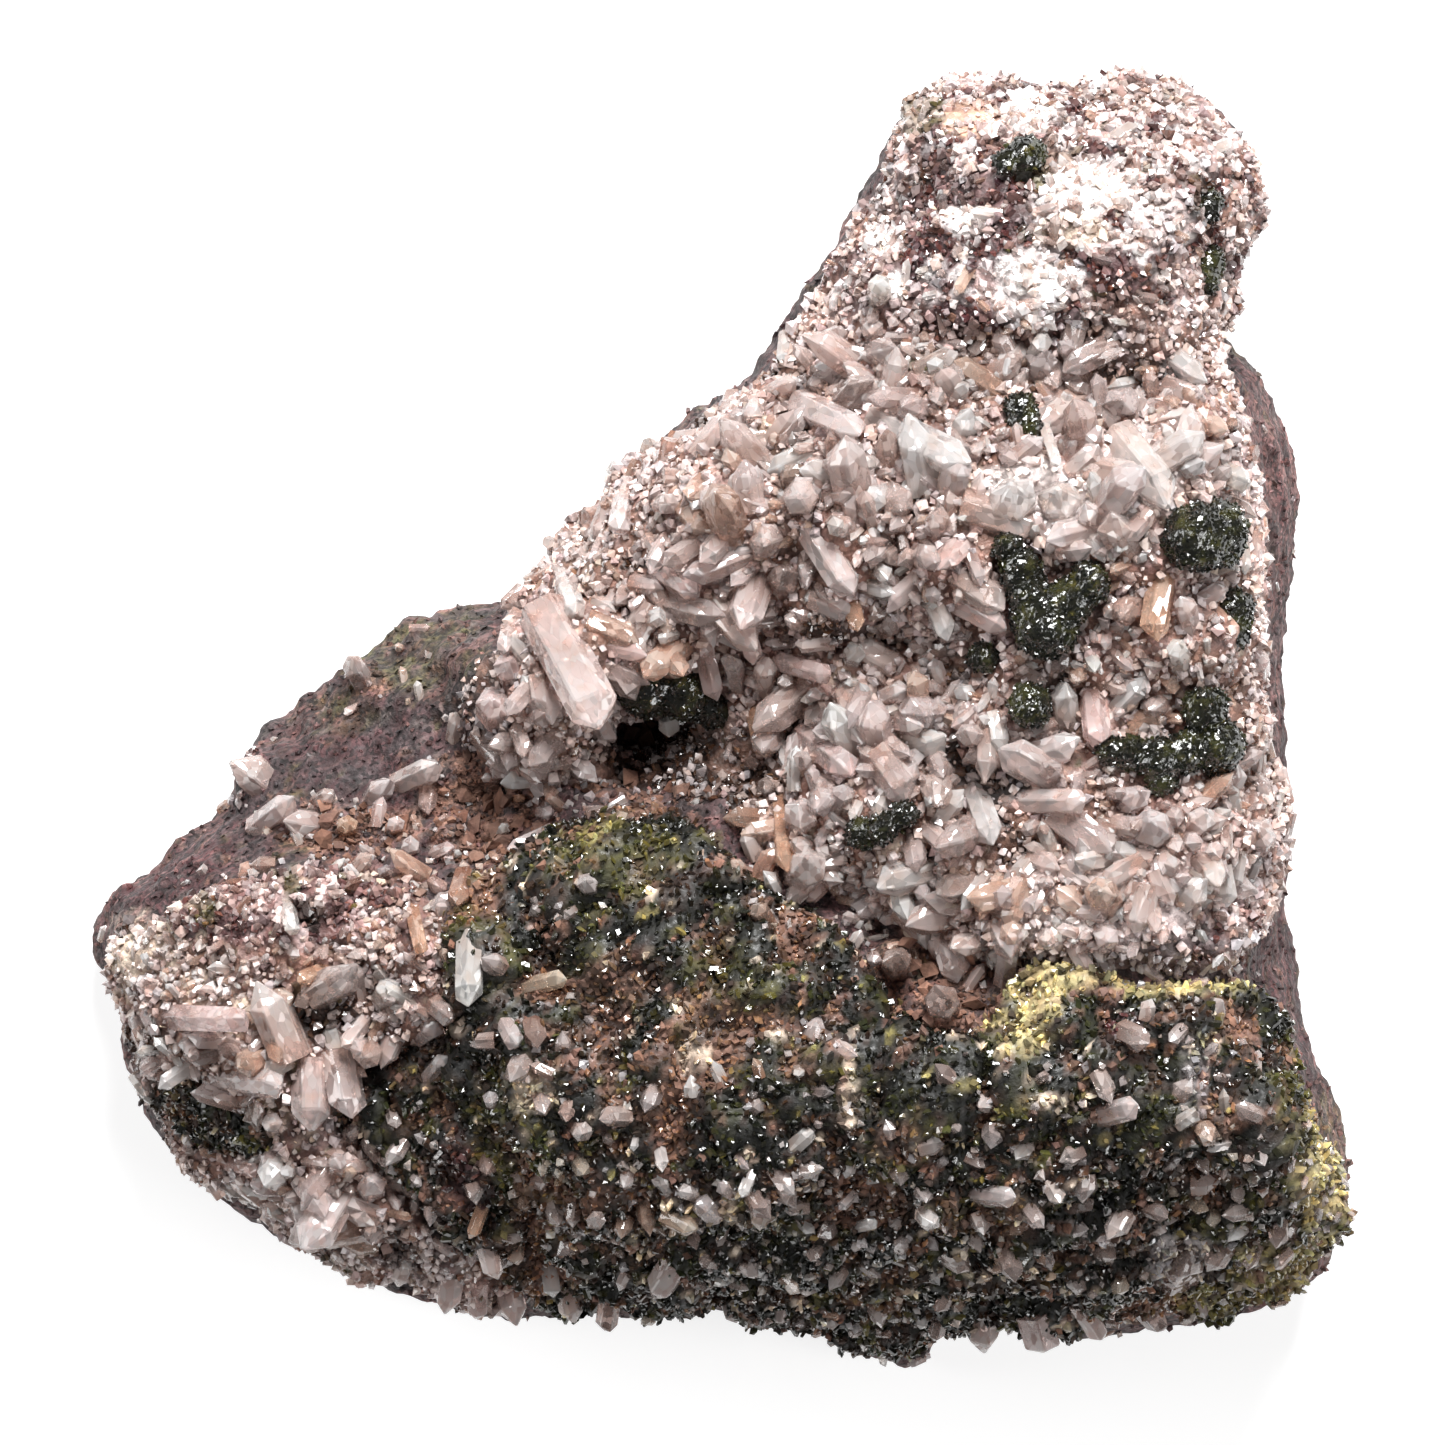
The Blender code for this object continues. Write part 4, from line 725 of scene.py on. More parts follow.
def leaning(normal, up, lean, flow=(0.0, 0.0)):
    """A growing direction between the ground's normal and a random way along the ground."""
    turn = Vector((dice.gauss(0, 1), dice.gauss(0, 1), dice.gauss(0, 0.6)))
    turn -= turn.dot(normal) * normal
    turn = turn.normalized() + Vector((flow[0], -flow[1], 0.0)) * 0.8
    axis = normal * up + turn * lean
    axis.z = max(axis.z, -0.1)
    return axis.normalized()


def varied(tint, amount):
    """A tint with a small change of brightness and warmth."""
    light = 1 + dice.uniform(-amount, amount)
    warm = dice.uniform(-amount, amount) * 0.35
    return tuple(min(max(c * light * f, 0.0), 0.97) for c, f in zip(tint, (1 + warm, 1.0, 1 - warm)))


def crystal_tint(tint):
    """A crystal's own tint: most are pale, some stained and a few smoky."""
    chance = dice.random()
    stain = (1.0, 1.0, 1.0)
    if chance < 0.1:
        stain = STAINED
    elif chance < 0.16:
        stain = SMOKED
    elif chance > 0.85:
        tint = TINTS["white"]
    return varied(tuple(c * s for c, s in zip(tint, stain)), 0.08)


def rooted(points, tint, length, foot):
    """The tints of a crystal's points: towards its foot they are darker, a painted shade where the crystals
    crowd, and browner.
    """
    up = np.clip(points[:, 2] / length, 0, 1)[:, None] ** 0.8
    return np.array(tint) * (np.array(foot) * (1 - up) + up)


class Heap:
    """Closed shapes gathered into one mesh, each point with a tint and its place in its own crystal.

    A tint's alpha shifts the planes inside the quartz, so that no two crystals have the same.
    """

    def __init__(self):
        self.points = []
        self.faces = []
        self.tints = []
        self.growth = []
        self.count = 0

    def add(self, points, faces, tint, growth, shift=1.0):
        start = self.count
        self.points.append(points)
        self.faces += [tuple(start + k for k in corners) for corners in faces]
        colours = np.broadcast_to(tint, (len(points), 3))
        self.tints.append(np.column_stack([colours, np.full(len(points), shift)]))
        self.growth.append(growth)
        self.count += len(points)

    def add_net(self, net, tints):
        self.add(net.points, net.faces, tints, net.points)

    def build(self, name, look, nodes, smooth=False):
        """The piece: it rides on the root body and stands for its CAD nodes."""
        mesh = bpy.data.meshes.new(name)
        mesh.from_pydata(np.concatenate(self.points).tolist(), [], self.faces)
        tint = mesh.attributes.new("tint", "FLOAT_COLOR", "POINT")
        tint.data.foreach_set("color", np.concatenate(self.tints).astype(np.float32).reshape(-1))
        growth = mesh.attributes.new("growth", "FLOAT_VECTOR", "POINT")
        growth.data.foreach_set("vector", np.concatenate(self.growth).astype(np.float32).reshape(-1))
        mesh.polygons.foreach_set("use_smooth", [smooth] * len(mesh.polygons))
        mesh.materials.append(LOOKS[look])
        made = bpy.data.objects.new(name, mesh)
        bpy.context.scene.collection.objects.link(made)
        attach(made, "root")
        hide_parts(*nodes)
        return made


def add_heroes(heap, rows, ground, root):
    """The crystals that the photo shows one by one, each clear of the ground between its ends."""
    for base_x, base_y, tip_x, tip_y, width, rise, tint in rows:
        base = Vector(ground.at(base_x, base_y))
        base.z -= root * MM
        tip = place(tip_x, tip_y, 0)
        tip.z = ground.at(tip_x, tip_y).z + rise * MM
        tip.z = max(tip.z, base.z - HERO_DROP * (tip - base).xy.length)
        buried = 0.0
        for part in (0.3, 0.5, 0.7):
            under = ground.at(base_x + (tip_x - base_x) * part, base_y + (tip_y - base_y) * part).z
            buried = max(buried, under - (base.z + (tip.z - base.z) * part))
        base.z += min(buried, HERO_LIFT * MM)
        tip.z += min(buried, HERO_LIFT * MM)
        axis = tip - base
        points, faces = quartz_form(width * MM, axis.length, True)
        placed = aimed(points, base, axis.normalized(), dice.uniform(0, math.pi / 3))
        tints = rooted(points, varied(TINTS[tint], 0.05), axis.length, HERO_FOOT_SHADE)
        heap.add(placed, faces, tints, points)


class Bed:
    """A net that things grow on. Sizes and spacings are in millimetres."""

    def __init__(self, net, facing):
        self.points = net.points
        self.facing = facing
        self.flow = None

    def spread(self, spacing, tries, accept):
        """Random corners of the net at least a spacing apart, where accept is more than chance."""
        kept = []
        taken = {}
        size = spacing * MM
        cells = np.floor(self.points / size).astype(int).tolist()
        for k in dice.choices(range(len(self.points)), k=tries):
            if dice.random() > accept[k]:
                continue
            point = self.points[k]
            around = itertools.product(*[(c - 1, c, c + 1) for c in cells[k]])
            gaps = (point - self.points[n] for cell in around for n in taken.get(cell, ()))
            if any(np.dot(gap, gap) < size * size for gap in gaps):
                continue
            taken.setdefault(tuple(cells[k]), []).append(k)
            kept.append(k)
        return kept

    def crystals(self, heap, tints, accept, spacing, tries, widths, ratios, root, bevel=False, scale=None):
        """Crystals that lean at random and with the flow of their region."""
        if self.flow is None:
            self.flow = flow_at(self.points)
        for k in self.spread(spacing, tries, accept):
            base = Vector(self.points[k])
            facing = Vector(self.facing[k])
            axis = leaning(facing, dice.uniform(0.3, 1.0), dice.uniform(0.3, 1.2), self.flow[k])
            axis, size = rim.held_in(base, axis)
            width = dice.uniform(*widths) * (1.0 if scale is None else scale[k]) * size * MM
            length = width * dice.uniform(*ratios) + root * MM
            base -= axis * root * MM
            points, faces = quartz_form(width, length, bevel)
            placed = aimed(points, base, axis, dice.uniform(0, math.pi))
            tint = rooted(points, crystal_tint(tints[k]), length, CRYSTAL_FOOT_SHADE)
            heap.add(placed, faces, tint, points, dice.uniform(0.75, 1.0))

    def blades(self, heap, tints, accept, spacing, tries, widths, ratios, root):
        for k in self.spread(spacing, tries, accept):
            width = dice.uniform(*widths) * MM
            length = width * dice.uniform(*ratios) + root * MM
            axis = leaning(Vector(self.facing[k]), dice.uniform(0.5, 1.0), dice.uniform(0.2, 1.1))
            base = Vector(self.points[k]) - axis * root * MM
            points, faces = blade_form(width, length)
            placed = aimed(points, base, axis, dice.uniform(0, math.pi))
            heap.add(placed, faces, varied(tints[k], 0.35), points, dice.uniform(0.6, 1.0))

    def crumbs(self, heap, tints, accept, spacing, tries, widths, flat=1.0):
        """Uneven crumbs, half sunk in the ground, more of them small than large."""
        for k in self.spread(spacing, tries, accept):
            radius = (widths[0] + (widths[1] - widths[0]) * dice.random() ** 1.6) * MM / 2
            points = CRUMB_CORNERS * radius * (1, 1, flat)
            points = points * np.array([[dice.uniform(0.65, 1.25) for _ in range(3)] for _ in points])
            base = Vector(self.points[k]) + Vector(self.facing[k]) * radius * 0.3
            axis = Vector((dice.gauss(0, 1), dice.gauss(0, 1), dice.gauss(0, 1))).normalized()
            heap.add(aimed(points, base, axis, 0.0), CRUMB_FACES, varied(tints[k], 0.22), points)


# Materials


class Look:
    """A material under construction: its nodes and the links between them."""

    def __init__(self, name):
        self.material = bpy.data.materials.new(name)
        self.material.use_nodes = True
        self.tree = self.material.node_tree
        self.shader = self.tree.nodes["Principled BSDF"]

    def feed(self, socket, value):
        if isinstance(value, bpy.types.NodeSocket):
            self.tree.links.new(value, socket)
        else:
            socket.default_value = value

    def node(self, kind, inputs=None, **settings):
        made = self.tree.nodes.new(kind)
        for name, value in settings.items():
            setattr(made, name, value)
        for name, value in (inputs or {}).items():
            self.feed(made.inputs[name], value)
        return made

    def own(self, name):
        """An attribute of the mesh."""
        return self.node("ShaderNodeAttribute", attribute_name=name).outputs

    def where(self):
        return self.node("ShaderNodeTexCoord").outputs["Object"]

    def noise(self, scale, detail, vector):
        inputs = {"Scale": scale, "Detail": detail, "Vector": vector}
        return self.node("ShaderNodeTexNoise", inputs).outputs["Fac"]

    def cells(self, scale, vector):
        """Random cells, and the first random number of each."""
        made = self.node("ShaderNodeTexVoronoi", {"Vector": vector, "Scale": scale}).outputs
        return made, self.node("ShaderNodeSeparateColor", {"Color": made["Color"]}).outputs[0]

    def vector(self, operation, *values):
        return self.node("ShaderNodeVectorMath", dict(enumerate(values)), operation=operation).outputs

    def span(self, value, low, high, to_low, to_high):
        inputs = {"Value": value, "From Min": low, "From Max": high, "To Min": to_low, "To Max": to_high}
        return self.node("ShaderNodeMapRange", inputs).outputs["Result"]

    def mix(self, share, first, second, blend="MIX"):
        made = self.node("ShaderNodeMix", data_type="RGBA", blend_type=blend)
        for socket, value in ((0, share), (6, first), (7, second)):
            self.feed(made.inputs[socket], value)
        return made.outputs[2]

    def times(self, colour, factor):
        return self.mix(1.0, colour, factor, "MULTIPLY")

    def bump(self, height, distance, strength, after=None):
        inputs = {"Height": height, "Distance": distance, "Strength": strength}
        if after is not None:
            inputs["Normal"] = after
        return self.node("ShaderNodeBump", inputs).outputs["Normal"]

    def set(self, **values):
        for name, value in values.items():
            self.feed(self.shader.inputs[name.replace("_", " ")], value)
        return self.material


def quartz_look(name, transmission):
    """Quartz, with many small planes inside that shine and tilt the light one by one."""
    look = Look(name)
    tint = look.own("tint")
    stain = look.span(look.noise(500.0, 1.0, look.where()), 0.5, 0.7, 0.0, 1.0)
    colour = look.mix(stain, tint["Color"], look.times(tint["Color"], (0.93, 0.84, 0.79, 1)))
    shift = look.node("ShaderNodeCombineXYZ", {0: tint["Alpha"]}).outputs[0]
    along = look.vector("MULTIPLY_ADD", look.own("growth")["Vector"], (1.0, 1.0, 0.45), shift)["Vector"]
    planes, shine = look.cells(1500.0, along)
    colour = look.mix(look.span(shine, 0.25, 0.95, 0.0, 1.0), colour, look.mix(1.0, colour, colour, "SCREEN"))
    rough = look.span(shine, 0.0, 1.0, 0.02, 0.16)
    offset = look.vector("SUBTRACT", along, planes["Position"])["Vector"]
    tilt = look.vector("SUBTRACT", planes["Color"], (0.5, 0.5, 0.5))["Vector"]
    bump = look.bump(look.vector("DOT_PRODUCT", offset, tilt)["Value"], 1.0, 0.65)
    return look.set(
        Base_Color=colour, Roughness=rough, Normal=bump, Transmission_Weight=transmission, IOR=1.544
    )


def ground_look(name, rough, grain, height, speckle):
    """For rock, clay and the grounds of the crusts: tinted, speckled and grainy.

    There are as many grains to a metre as grain says, and the finest bumps are height metres high.
    """
    look = Look(name)
    where = look.where()
    cells, bright = look.cells(grain, where)
    shade = look.span(bright, 0.0, 1.0, 1.0 - speckle, 1.0 + speckle)
    speckles = look.node("ShaderNodeCombineColor", {0: shade, 1: shade, 2: shade}).outputs[0]
    colour = look.times(look.own("tint")["Color"], speckles)
    wide = look.span(look.noise(420.0, 3.0, where), 0.35, 0.65, 0.0, 1.0)
    colour = look.mix(wide, colour, look.times(colour, (0.55, 0.48, 0.48, 1)))
    uneven = look.span(look.noise(1800.0, 0.0, where), 0.3, 0.7, *rough)
    bump = look.bump(cells["Distance"], 0.00025, -0.5)
    bump = look.bump(look.noise(2500.0, 3.0, where), height, 0.7, bump)
    return look.set(Base_Color=colour, Roughness=uneven, Normal=bump)


def epidote_look(name):
    """Dark and glassy, greener in patches."""
    look = Look(name)
    tint = look.own("tint")["Color"]
    where = look.where()
    patchy = look.span(look.noise(900.0, 2.0, where), 0.4, 0.66, 0.0, 1.0)
    colour = look.mix(patchy, tint, look.times(tint, (1.7, 1.6, 1.2, 1)))
    rough = look.span(look.noise(2600.0, 0.0, where), 0.3, 0.7, 0.05, 0.22)
    bump = look.bump(look.noise(3000.0, 2.0, where), 0.0001, 0.5)
    return look.set(Base_Color=colour, Roughness=rough, Normal=bump, IOR=1.74)


LOOKS = {
    "crystal": quartz_look("quartz_crystal", transmission=0.68),
    "crumb": quartz_look("quartz_crumb", transmission=0.0),
    "sugar": ground_look("quartz_ground", rough=(0.35, 0.7), grain=1700.0, height=0.0004, speckle=0.4),
    "epidote": epidote_look("epidote_blades"),
    "soil": ground_look("epidote_ground", rough=(0.4, 0.8), grain=1700.0, height=0.0002, speckle=0.35),
    "rock": ground_look("rock_face", rough=(0.6, 0.95), grain=2300.0, height=0.0005, speckle=0.75),
    "clay": ground_look("clay_crumbs", rough=(0.85, 1.0), grain=1300.0, height=0.0002, speckle=0.2),
}


# The rock and the grounds of the crusts


def levelled(net, flat, level):
    """Puts the points of the cut-off back where they were, on the floor."""
    net.points[flat] = level[flat]
    net.points[flat, 2] = 0.0


def grainy(net, share, sizes, seed):
    """Raises small rounded grains on a net; returns how high each point stands."""
    lift = sum(grains(net.points, size, seed + int(size * 10)) * height for size, height in sizes)
    net.raised(lift * share)
    return lift


def crust_ground(node, full, bumps, seed):
    """The ground of a crust, as (net, share, relief): the rock's faces under it, moved out and made lumpy.

    Its edge is sunk in the rock, where share is 0, and relief is the height of its bumps.
    """
    net, used = rock.part(zones[node] > 0)
    share = np.clip(zones[node][used] / EDGE_WIDTH, 0, 1)
    share = share * share * (3 - 2 * share)
    relief = layered(net.points, [(size, height, int(size * 10)) for size, height in bumps], seed)
    lift = -EDGE_SUNK + (full + EDGE_SUNK) * share + relief * share
    net.points += bare_normals[used] * (lift * MM)[:, None]
    if node == "epidote_crust":
        return net, share, relief
    finer = refined(net)
    tree = tree_of(net.points)
    nearest = np.array([tree.find(point)[1] for point in finer.points])
    return finer, share[nearest], relief[nearest]


rock = remeshed("matrix", ROCK_VOXEL)
flat = rock.points[:, 2] < FLAT_BASE * MM
level = rock.points.copy()
beside_crystals = np.clip((2.4 - segment_gap(rock.points, ROCK_HEROES)) / 1.2, 0, 1)
rock.smooth(8)
rock.smooth(60, (0.7,), beside_crystals[:, None])
levelled(rock, flat, level)

zones = {}
for node in GROUND_BUMPS:
    covered = distances(rock.points, node, CRUST_SEARCH) < CRUST_REACH
    zones[node] = depth_inside(rock.points, covered & ~flat)

for number, (*spot, depth) in enumerate(DENTS):
    rock.points[:, 2] -= patch_share(*spot, rock.points, 60 + number) * depth * MM * ~flat
rock.smooth(2)
levelled(rock, flat, level)
bare_normals = rock.normals()
side = (np.abs(bare_normals[:, 2]) < 0.3) & (rock.points[:, 2] > 0.002)
rim = Rim(rock.points[side], bare_normals[side])

nodular = patch_share(*NODULAR, rock.points, 12)
lift = layered(rock.points, [(5.0, 0.5, 0), (1.9, 0.4, 1)], 3) + grains(rock.points, 1.6, 5) * 0.6
lift += grains(rock.points, 3.0, 6) * 1.1 * nodular
rock.points += bare_normals * (lift * np.where(flat, 0, 1) * MM)[:, None]
rock.points[flat, 2] = 0.0
rock.points[:, 2] = np.maximum(rock.points[:, 2], 0.0)

grounds = {}
for number, (node, (full, bumps)) in enumerate(GROUND_BUMPS.items()):
    grounds[node] = crust_ground(node, full, bumps, 100 * (number + 1))
everything = Ground([rock, *(net for net, _, _ in grounds.values())])

# The rock, with the crumbs of clay in its pockets and a scatter of small quartz
rock_bed = Bed(rock, rock.normals())
upright = rock_bed.facing[:, 2]
strata = rock.points * np.array((0.16, 0.16, 1.0))
steep = np.clip(1.15 - 1.7 * np.abs(upright), 0, 1)
tints = patched(rock.points, plain(rock.points, "purple"), ROCK_PATCHES, 300)
tints = mottled(rock.points, tints, ROCK_MOTTLES, 330)
tints = mottled(strata, tints, ROCK_STRATA, 360, steep)
tints *= (1 + 0.3 * waves(strata, 0.5, 8) * steep + 0.4 * waves(rock.points, 0.9, 9))[:, None]
heap = Heap()
heap.add_net(rock, tints)
heap.build("rock", "rock", ["matrix"], smooth=True)

bare = np.ones(len(rock.points)) * ~flat
for depth in zones.values():
    bare *= depth < 1.2
heap = Heap()
upward = np.clip(upright * 3 - 0.7, 0, 1) * (rock.points[:, 2] > 0.004)
gritty = mottled(rock.points, tints, [("rose", 2.6, 0.3, 0.7), ("pink", 1.6, 0.6, 0.5)], 58)
rock_bed.crumbs(heap, gritty, bare * upward * 0.9, spacing=0.8, tries=60000, widths=(0.35, 1.1), flat=0.5)
heap.build("rock_grit", "rock", ["matrix"])

heap = Heap()
pockets = most_of(rock.points, CLAY_POCKETS, 44)
clay = plain(rock.points, "clay") * (1 + 0.3 * waves(rock.points, 3.0, 51))[:, None]
rock_bed.crumbs(heap, clay, bare * pockets * 0.6, spacing=1.5, tries=30000, widths=(0.9, 3.0), flat=0.55)
rock_bed.crumbs(heap, clay, bare * pockets, spacing=0.45, tries=60000, widths=(0.4, 1.3), flat=0.6)
for node in LARGE_CRUSTS:
    net = grounds[node][0]
    dull = mottled(net.points, plain(net.points, "clay"), [("cream", 5.0, 0.2, 0.8)], 53)
    accept = np.clip(waves(net.points, 5.0, 54) * 2, 0, 1) * 0.5
    Bed(net, net.normals()).crumbs(heap, dull, accept, spacing=1.2, tries=9000, widths=(0.5, 1.5))
heap.build("clay", "clay", ["matrix"])

heap = Heap()
spots = [("pink", 4.0, 0.0, 0.8), ("orange", 3.0, 0.35, 0.7)]
pale = mottled(rock.points, plain(rock.points, "clear"), spots, 55)
accept = bare * np.clip(upright * 1.6, 0, 1) * np.maximum(most_of(rock.points, SPRINKLED, 45), 0.01)
apart = ~(segment_gap(rock.points, ROCK_HEROES) < 0.4)
rock_bed.crystals(
    heap, pale, accept * apart, spacing=2.2, tries=30000,
    widths=(1.0, 2.6), ratios=(1.1, 2.0), root=0.5, bevel=True,
)
rock_bed.crumbs(heap, pale, accept, spacing=1.1, tries=30000, widths=(0.6, 1.5))
add_heroes(heap, ROCK_HEROES, everything, 1.6)
heap.build("quartz_on_rock", "crystal", ["matrix"])


def druse(node, prefix, patches, heroes, mottles, fine_mottles, seed):
    """A crust of quartz: its sugary ground, the crystals, the crumbs between and the specks of epidote."""
    net, share, relief = grounds[node]
    points = net.points
    lift = grainy(net, share, SUGAR_GRAINS, seed)
    bed = Bed(net, net.normals())
    fine = most_of(points, FINE_GRAINED[node], 31)
    low = np.clip((-0.15 - relief) / 1.3, 0, 1) * (1 - 0.6 * fine)

    tints = mottled(points, plain(points, "sugar"), mottles, seed + 40, 1 - fine)
    tints = mottled(points, tints, fine_mottles, seed + 60, fine)
    tints = patched(points, tints, patches, seed)
    # Low places take the clay's colour, which the hollows really hold, spotted with near-black painted shade
    clay_and_pit_shade = mottled(points, plain(points, "clay"), [("pit_shade", 3.0, 0.0, 1.0)], seed + 90)
    tints = blended(tints, clay_and_pit_shade, np.clip(low * 1.8, 0, 1))
    # The crystals and crumbs take paler copies of the ground's tints, so in the painted shade of the hollows
    # they are darker too
    bright = np.clip(tints.mean(axis=1) / 0.3, 0, 1)
    paler = (0.42 + 0.55 * bright) * (1 - fine) + (0.04 + 0.7 * bright ** 1.5) * fine
    colours = blended(tints, np.array(TINTS["clear"]), paler)
    heap = Heap()
    # Painted shade: the ground is darker low between its grains and lighter on their tops
    heap.add_net(net, tints * (0.6 + 0.5 * np.clip(lift / 0.6, 0, 1))[:, None])
    heap.build(prefix + "_ground", "sugar", [node], smooth=True)

    coarse = most_of(points, COARSE, 91)
    thin = most_of(points, THIN, 17)
    tries = int(len(points) * 1.3)
    accept = np.clip(share * 1.4, 0, 1) * (1 - thin) * (1 - 0.8 * fine) * (1 - 0.75 * low)
    accept *= np.clip(bright * 1.8 - 0.25, 0.03, 1)
    accept *= segment_gap(points, heroes) > 0.4
    ball_gap = np.full(len(points), BALL_REACH)
    if node == "quartz_crust":
        for ball in BALLS:
            ball_gap = np.minimum(ball_gap, distances(points, ball, BALL_REACH))
    scale = 0.52 + 0.48 * coarse
    heap = Heap()
    add_heroes(heap, heroes, everything, 1.2)
    bed.crystals(
        heap, colours, accept * coarse * (ball_gap > 3.0), spacing=3.2, tries=tries // 5,
        widths=(2.4, 4.6), ratios=(0.8, 1.8), root=1.4, bevel=True, scale=scale,
    )
    bed.crystals(
        heap, colours, accept * (ball_gap > 1.9), spacing=2.0, tries=tries // 4,
        widths=(1.3, 2.8), ratios=(0.9, 1.9), root=0.9, scale=scale,
    )
    bed.crystals(
        heap, colours, accept * (ball_gap > 1.1), spacing=1.0, tries=tries // 2,
        widths=(0.7, 1.4), ratios=(0.9, 2.0), root=0.4, scale=np.maximum(scale, 0.7),
    )
    heap.build(prefix + "_crystals", "crystal", [node])

    heap = Heap()
    dusted = np.clip(waves(points, 3.0, seed + 7) + 0.8, 0, 1) * (ball_gap > 0.5)
    dusted *= 1 - 0.75 * thin * (1 - fine)
    white = np.clip((tints.mean(axis=1) - 0.5) / 0.3, 0, 1)
    duller = (tints * 0.35 + colours * 0.65) * (0.62 + 0.32 * white)[:, None]
    duller = mottled(points, duller, [("rose", 1.6, 0.25, 0.5), ("smoky", 1.2, 0.4, 0.6)], seed + 95)
    accept = np.clip(share * 1.4, 0, 1) * dusted * (0.8 - 0.3 * fine)
    bed.crumbs(heap, duller, accept, spacing=0.65, tries=tries, widths=(0.45, 1.7))
    heap.build(prefix + "_crumbs", "crumb", [node])

    heap = Heap()
    # Blades grow where the ground is near black, in its black epidote and in its painted pit shade, and take
    # its tints
    dark = np.clip(2.2 - tints.mean(axis=1) / 0.03, 0, 1) * (segment_gap(points, heroes) > 0.2)
    bed.blades(heap, tints, share * dark, tries=tries, **EPIDOTE_BLADES)
    heap.build(prefix + "_epidote", "epidote", [node])


druse("quartz_crust", "quartz_druse", QUARTZ_PATCHES, MAIN_HEROES, MAIN_MOTTLES, HEAD_MOTTLES, 500)
druse("quartz_crust_left", "quartz_druse_left", LEFT_PATCHES, LEFT_HEROES, LEFT_MOTTLES, RIDGE_MOTTLES, 700)


def epidote(node, prefix, seed):
    """A crust of epidote: its ground, the clay crumbs in its hollows and the blades."""
    net, share, relief = grounds[node]
    points = net.points
    lift = grainy(net, share, SOIL_GRAINS, seed)
    bed = Bed(net, net.normals())
    tints = mottled(points, plain(points, "black"), EPIDOTE_MOTTLES, seed + 40)
    # Low places take the clay's colour, which the crevices really hold, spotted with near-black painted shade
    clay_and_pit_shade = mottled(points, plain(points, "clay"), [("pit_shade", 3.4, 0.1, 0.9)], seed + 90)
    tints = blended(tints, clay_and_pit_shade, np.clip((-0.35 - relief) / 0.9, 0, 1) * 0.95)
    broken = np.clip(0.6 + 1.5 * waves(points, 1.0, seed + 80) + 0.5 * waves(points, 2.4, seed + 81), 0.05, 1)
    tints = patched(points, tints, EPIDOTE_PATCHES, seed, broken)
    heap = Heap()
    # Painted shade: the ground is darker low between its grains and lighter on their tops
    heap.add_net(net, tints * (0.45 + 0.85 * np.clip(lift / 0.8, 0, 1))[:, None])
    heap.build(prefix + "_ground", "soil", [node], smooth=True)

    # The crumbs lie where the ground is clay or its painted pit shade, and take its tints
    earthy = np.clip((tints[:, 0] - tints[:, 1]) * 14, 0, 1)
    heap = Heap()
    bed.crumbs(heap, tints * 1.15, share * earthy, spacing=0.7, tries=60000, widths=(0.5, 1.3), flat=0.7)
    heap.build(prefix + "_crumbs", "clay", [node])

    accept = np.clip(share * 1.5, 0, 1) * (1 - 0.75 * earthy)
    heap = Heap()
    bed.blades(heap, tints, accept, tries=60000, **EPIDOTE_BLADES)
    heap.build(prefix + "_blades", "epidote", [node])
    return bed, share


bed, share = epidote("epidote_crust", "epidote_crust", 900)
heap = Heap()
add_heroes(heap, EPIDOTE_HEROES, everything, 1.2)
down_face = face(bed.points)[1]
pale = mottled(bed.points, plain(bed.points, "clear"), STANDING_MOTTLES, 56)
accept = share * (0.35 + 0.6 * (down_face > 116))
accept *= np.clip(waves(bed.points, 6.0, 57) * 2.0 + 0.7 * (down_face > 114), 0, 1)
accept *= segment_gap(bed.points, EPIDOTE_HEROES) > 0.4
bed.crystals(heap, pale, accept, spacing=2.6, tries=6000, widths=(0.9, 2.6), ratios=(0.6, 1.4), root=0.8)
bed.crumbs(heap, pale, accept, spacing=1.1, tries=9000, widths=(0.5, 1.4))
heap.build("quartz_in_epidote", "crystal", ["epidote_crust"])
epidote("epidote_patch_left", "epidote_patch", 950)

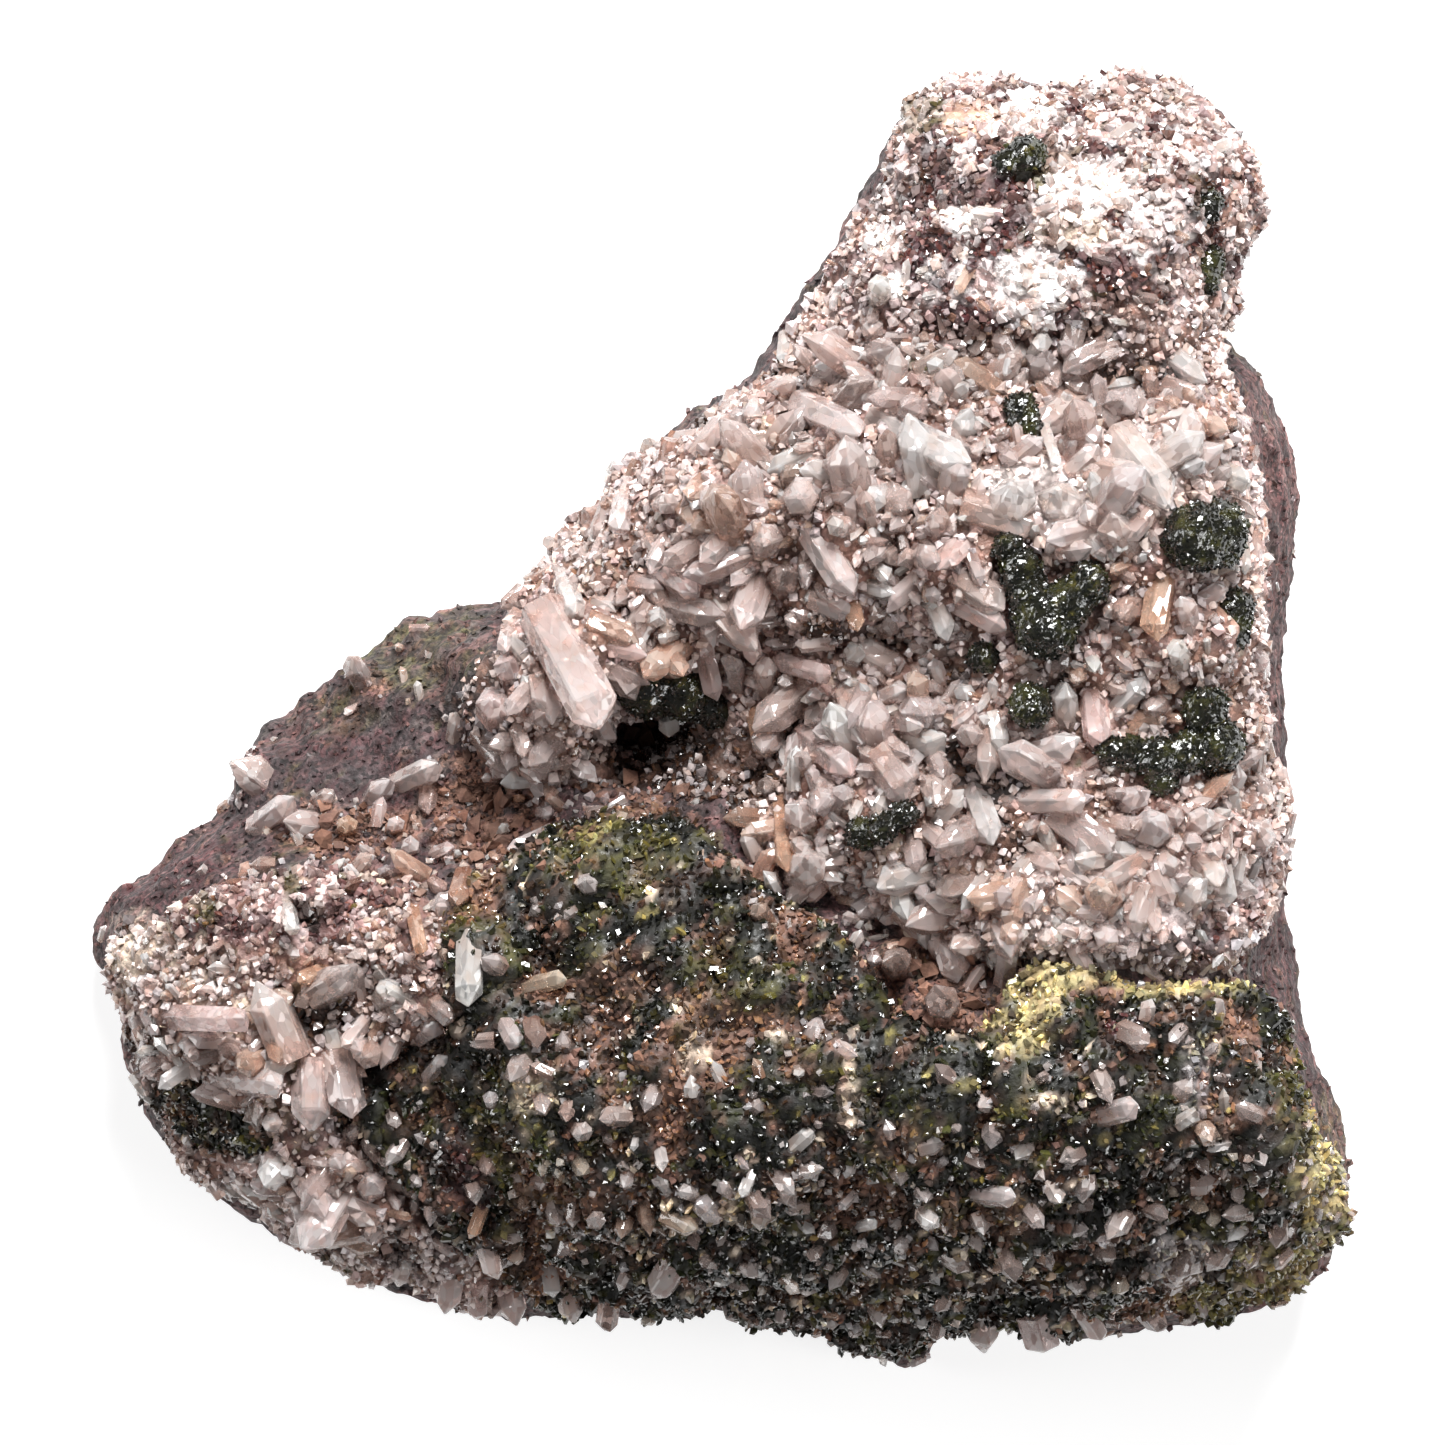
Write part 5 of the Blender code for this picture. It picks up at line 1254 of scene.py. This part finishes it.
# The epidote balls
for number, node in enumerate(BALLS, start=1):
    net = remeshed(node, BALL_VOXEL)
    net.smooth(4)
    net.raised(grains(net.points, 2.4, 60 + number) * 0.7 + grains(net.points, 0.7, 80 + number) * 0.22 - 0.3)
    bed = Bed(net, net.normals())
    tints = mottled(net.points, plain(net.points, "black"), BALL_MOTTLES, 70 + number)
    heap = Heap()
    heap.add_net(net, tints)
    everywhere = np.ones(len(net.points))
    bed.blades(heap, tints, everywhere, tries=2 * len(net.points), **BALL_BLADES)
    heap.build(f"epidote_ball_{number}", "epidote", [node])

# Floor, light and camera
floor = bpy.data.meshes.new("floor")
corners = [(x * FLOOR_SIDE, y * FLOOR_SIDE, 0) for x, y in ((-1, -1), (1, -1), (1, 1), (-1, 1))]
floor.from_pydata(corners, [], [(0, 1, 2, 3)])
floor_object = bpy.data.objects.new("floor", floor)
bpy.context.scene.collection.objects.link(floor_object)
floor_look = Look("floor")
floor.materials.append(floor_look.set(
    Base_Color=(FLOOR_TINT, FLOOR_TINT, FLOOR_TINT, 1), Roughness=0.9,
    Emission_Color=(1, 1, 1, 1), Emission_Strength=FLOOR_GLOW,
))

for name, where, size, power in LIGHTS:
    light = bpy.data.lights.new(name, "AREA")
    light.size = size
    light.energy = power
    made = bpy.data.objects.new(name, light)
    made.location = where
    made.rotation_mode = "QUATERNION"
    made.rotation_quaternion = (Vector((0, 0, 0.02)) - Vector(where)).to_track_quat("-Z", "Y")
    bpy.context.scene.collection.objects.link(made)

world = bpy.data.worlds.new("studio")
world.use_nodes = True
sky = world.node_tree.nodes["Background"].inputs
sky["Color"].default_value = (1.0, 1.0, 1.0, 1.0)
sky["Strength"].default_value = WORLD_LIGHT
bpy.context.scene.world = world
bpy.context.scene.view_settings.view_transform = "Standard"

camera = bpy.data.cameras.new("camera")
camera.lens = LENS
camera.sensor_width = SENSOR
camera.clip_end = 10.0
camera_object = bpy.data.objects.new("camera", camera)
camera_object.location = place(*PHOTO_CENTRE, 0) + Vector((0, 0, FOCUS_HEIGHT + PHOTO_SPAN * LENS / SENSOR))
bpy.context.scene.collection.objects.link(camera_object)
bpy.context.scene.camera = camera_object
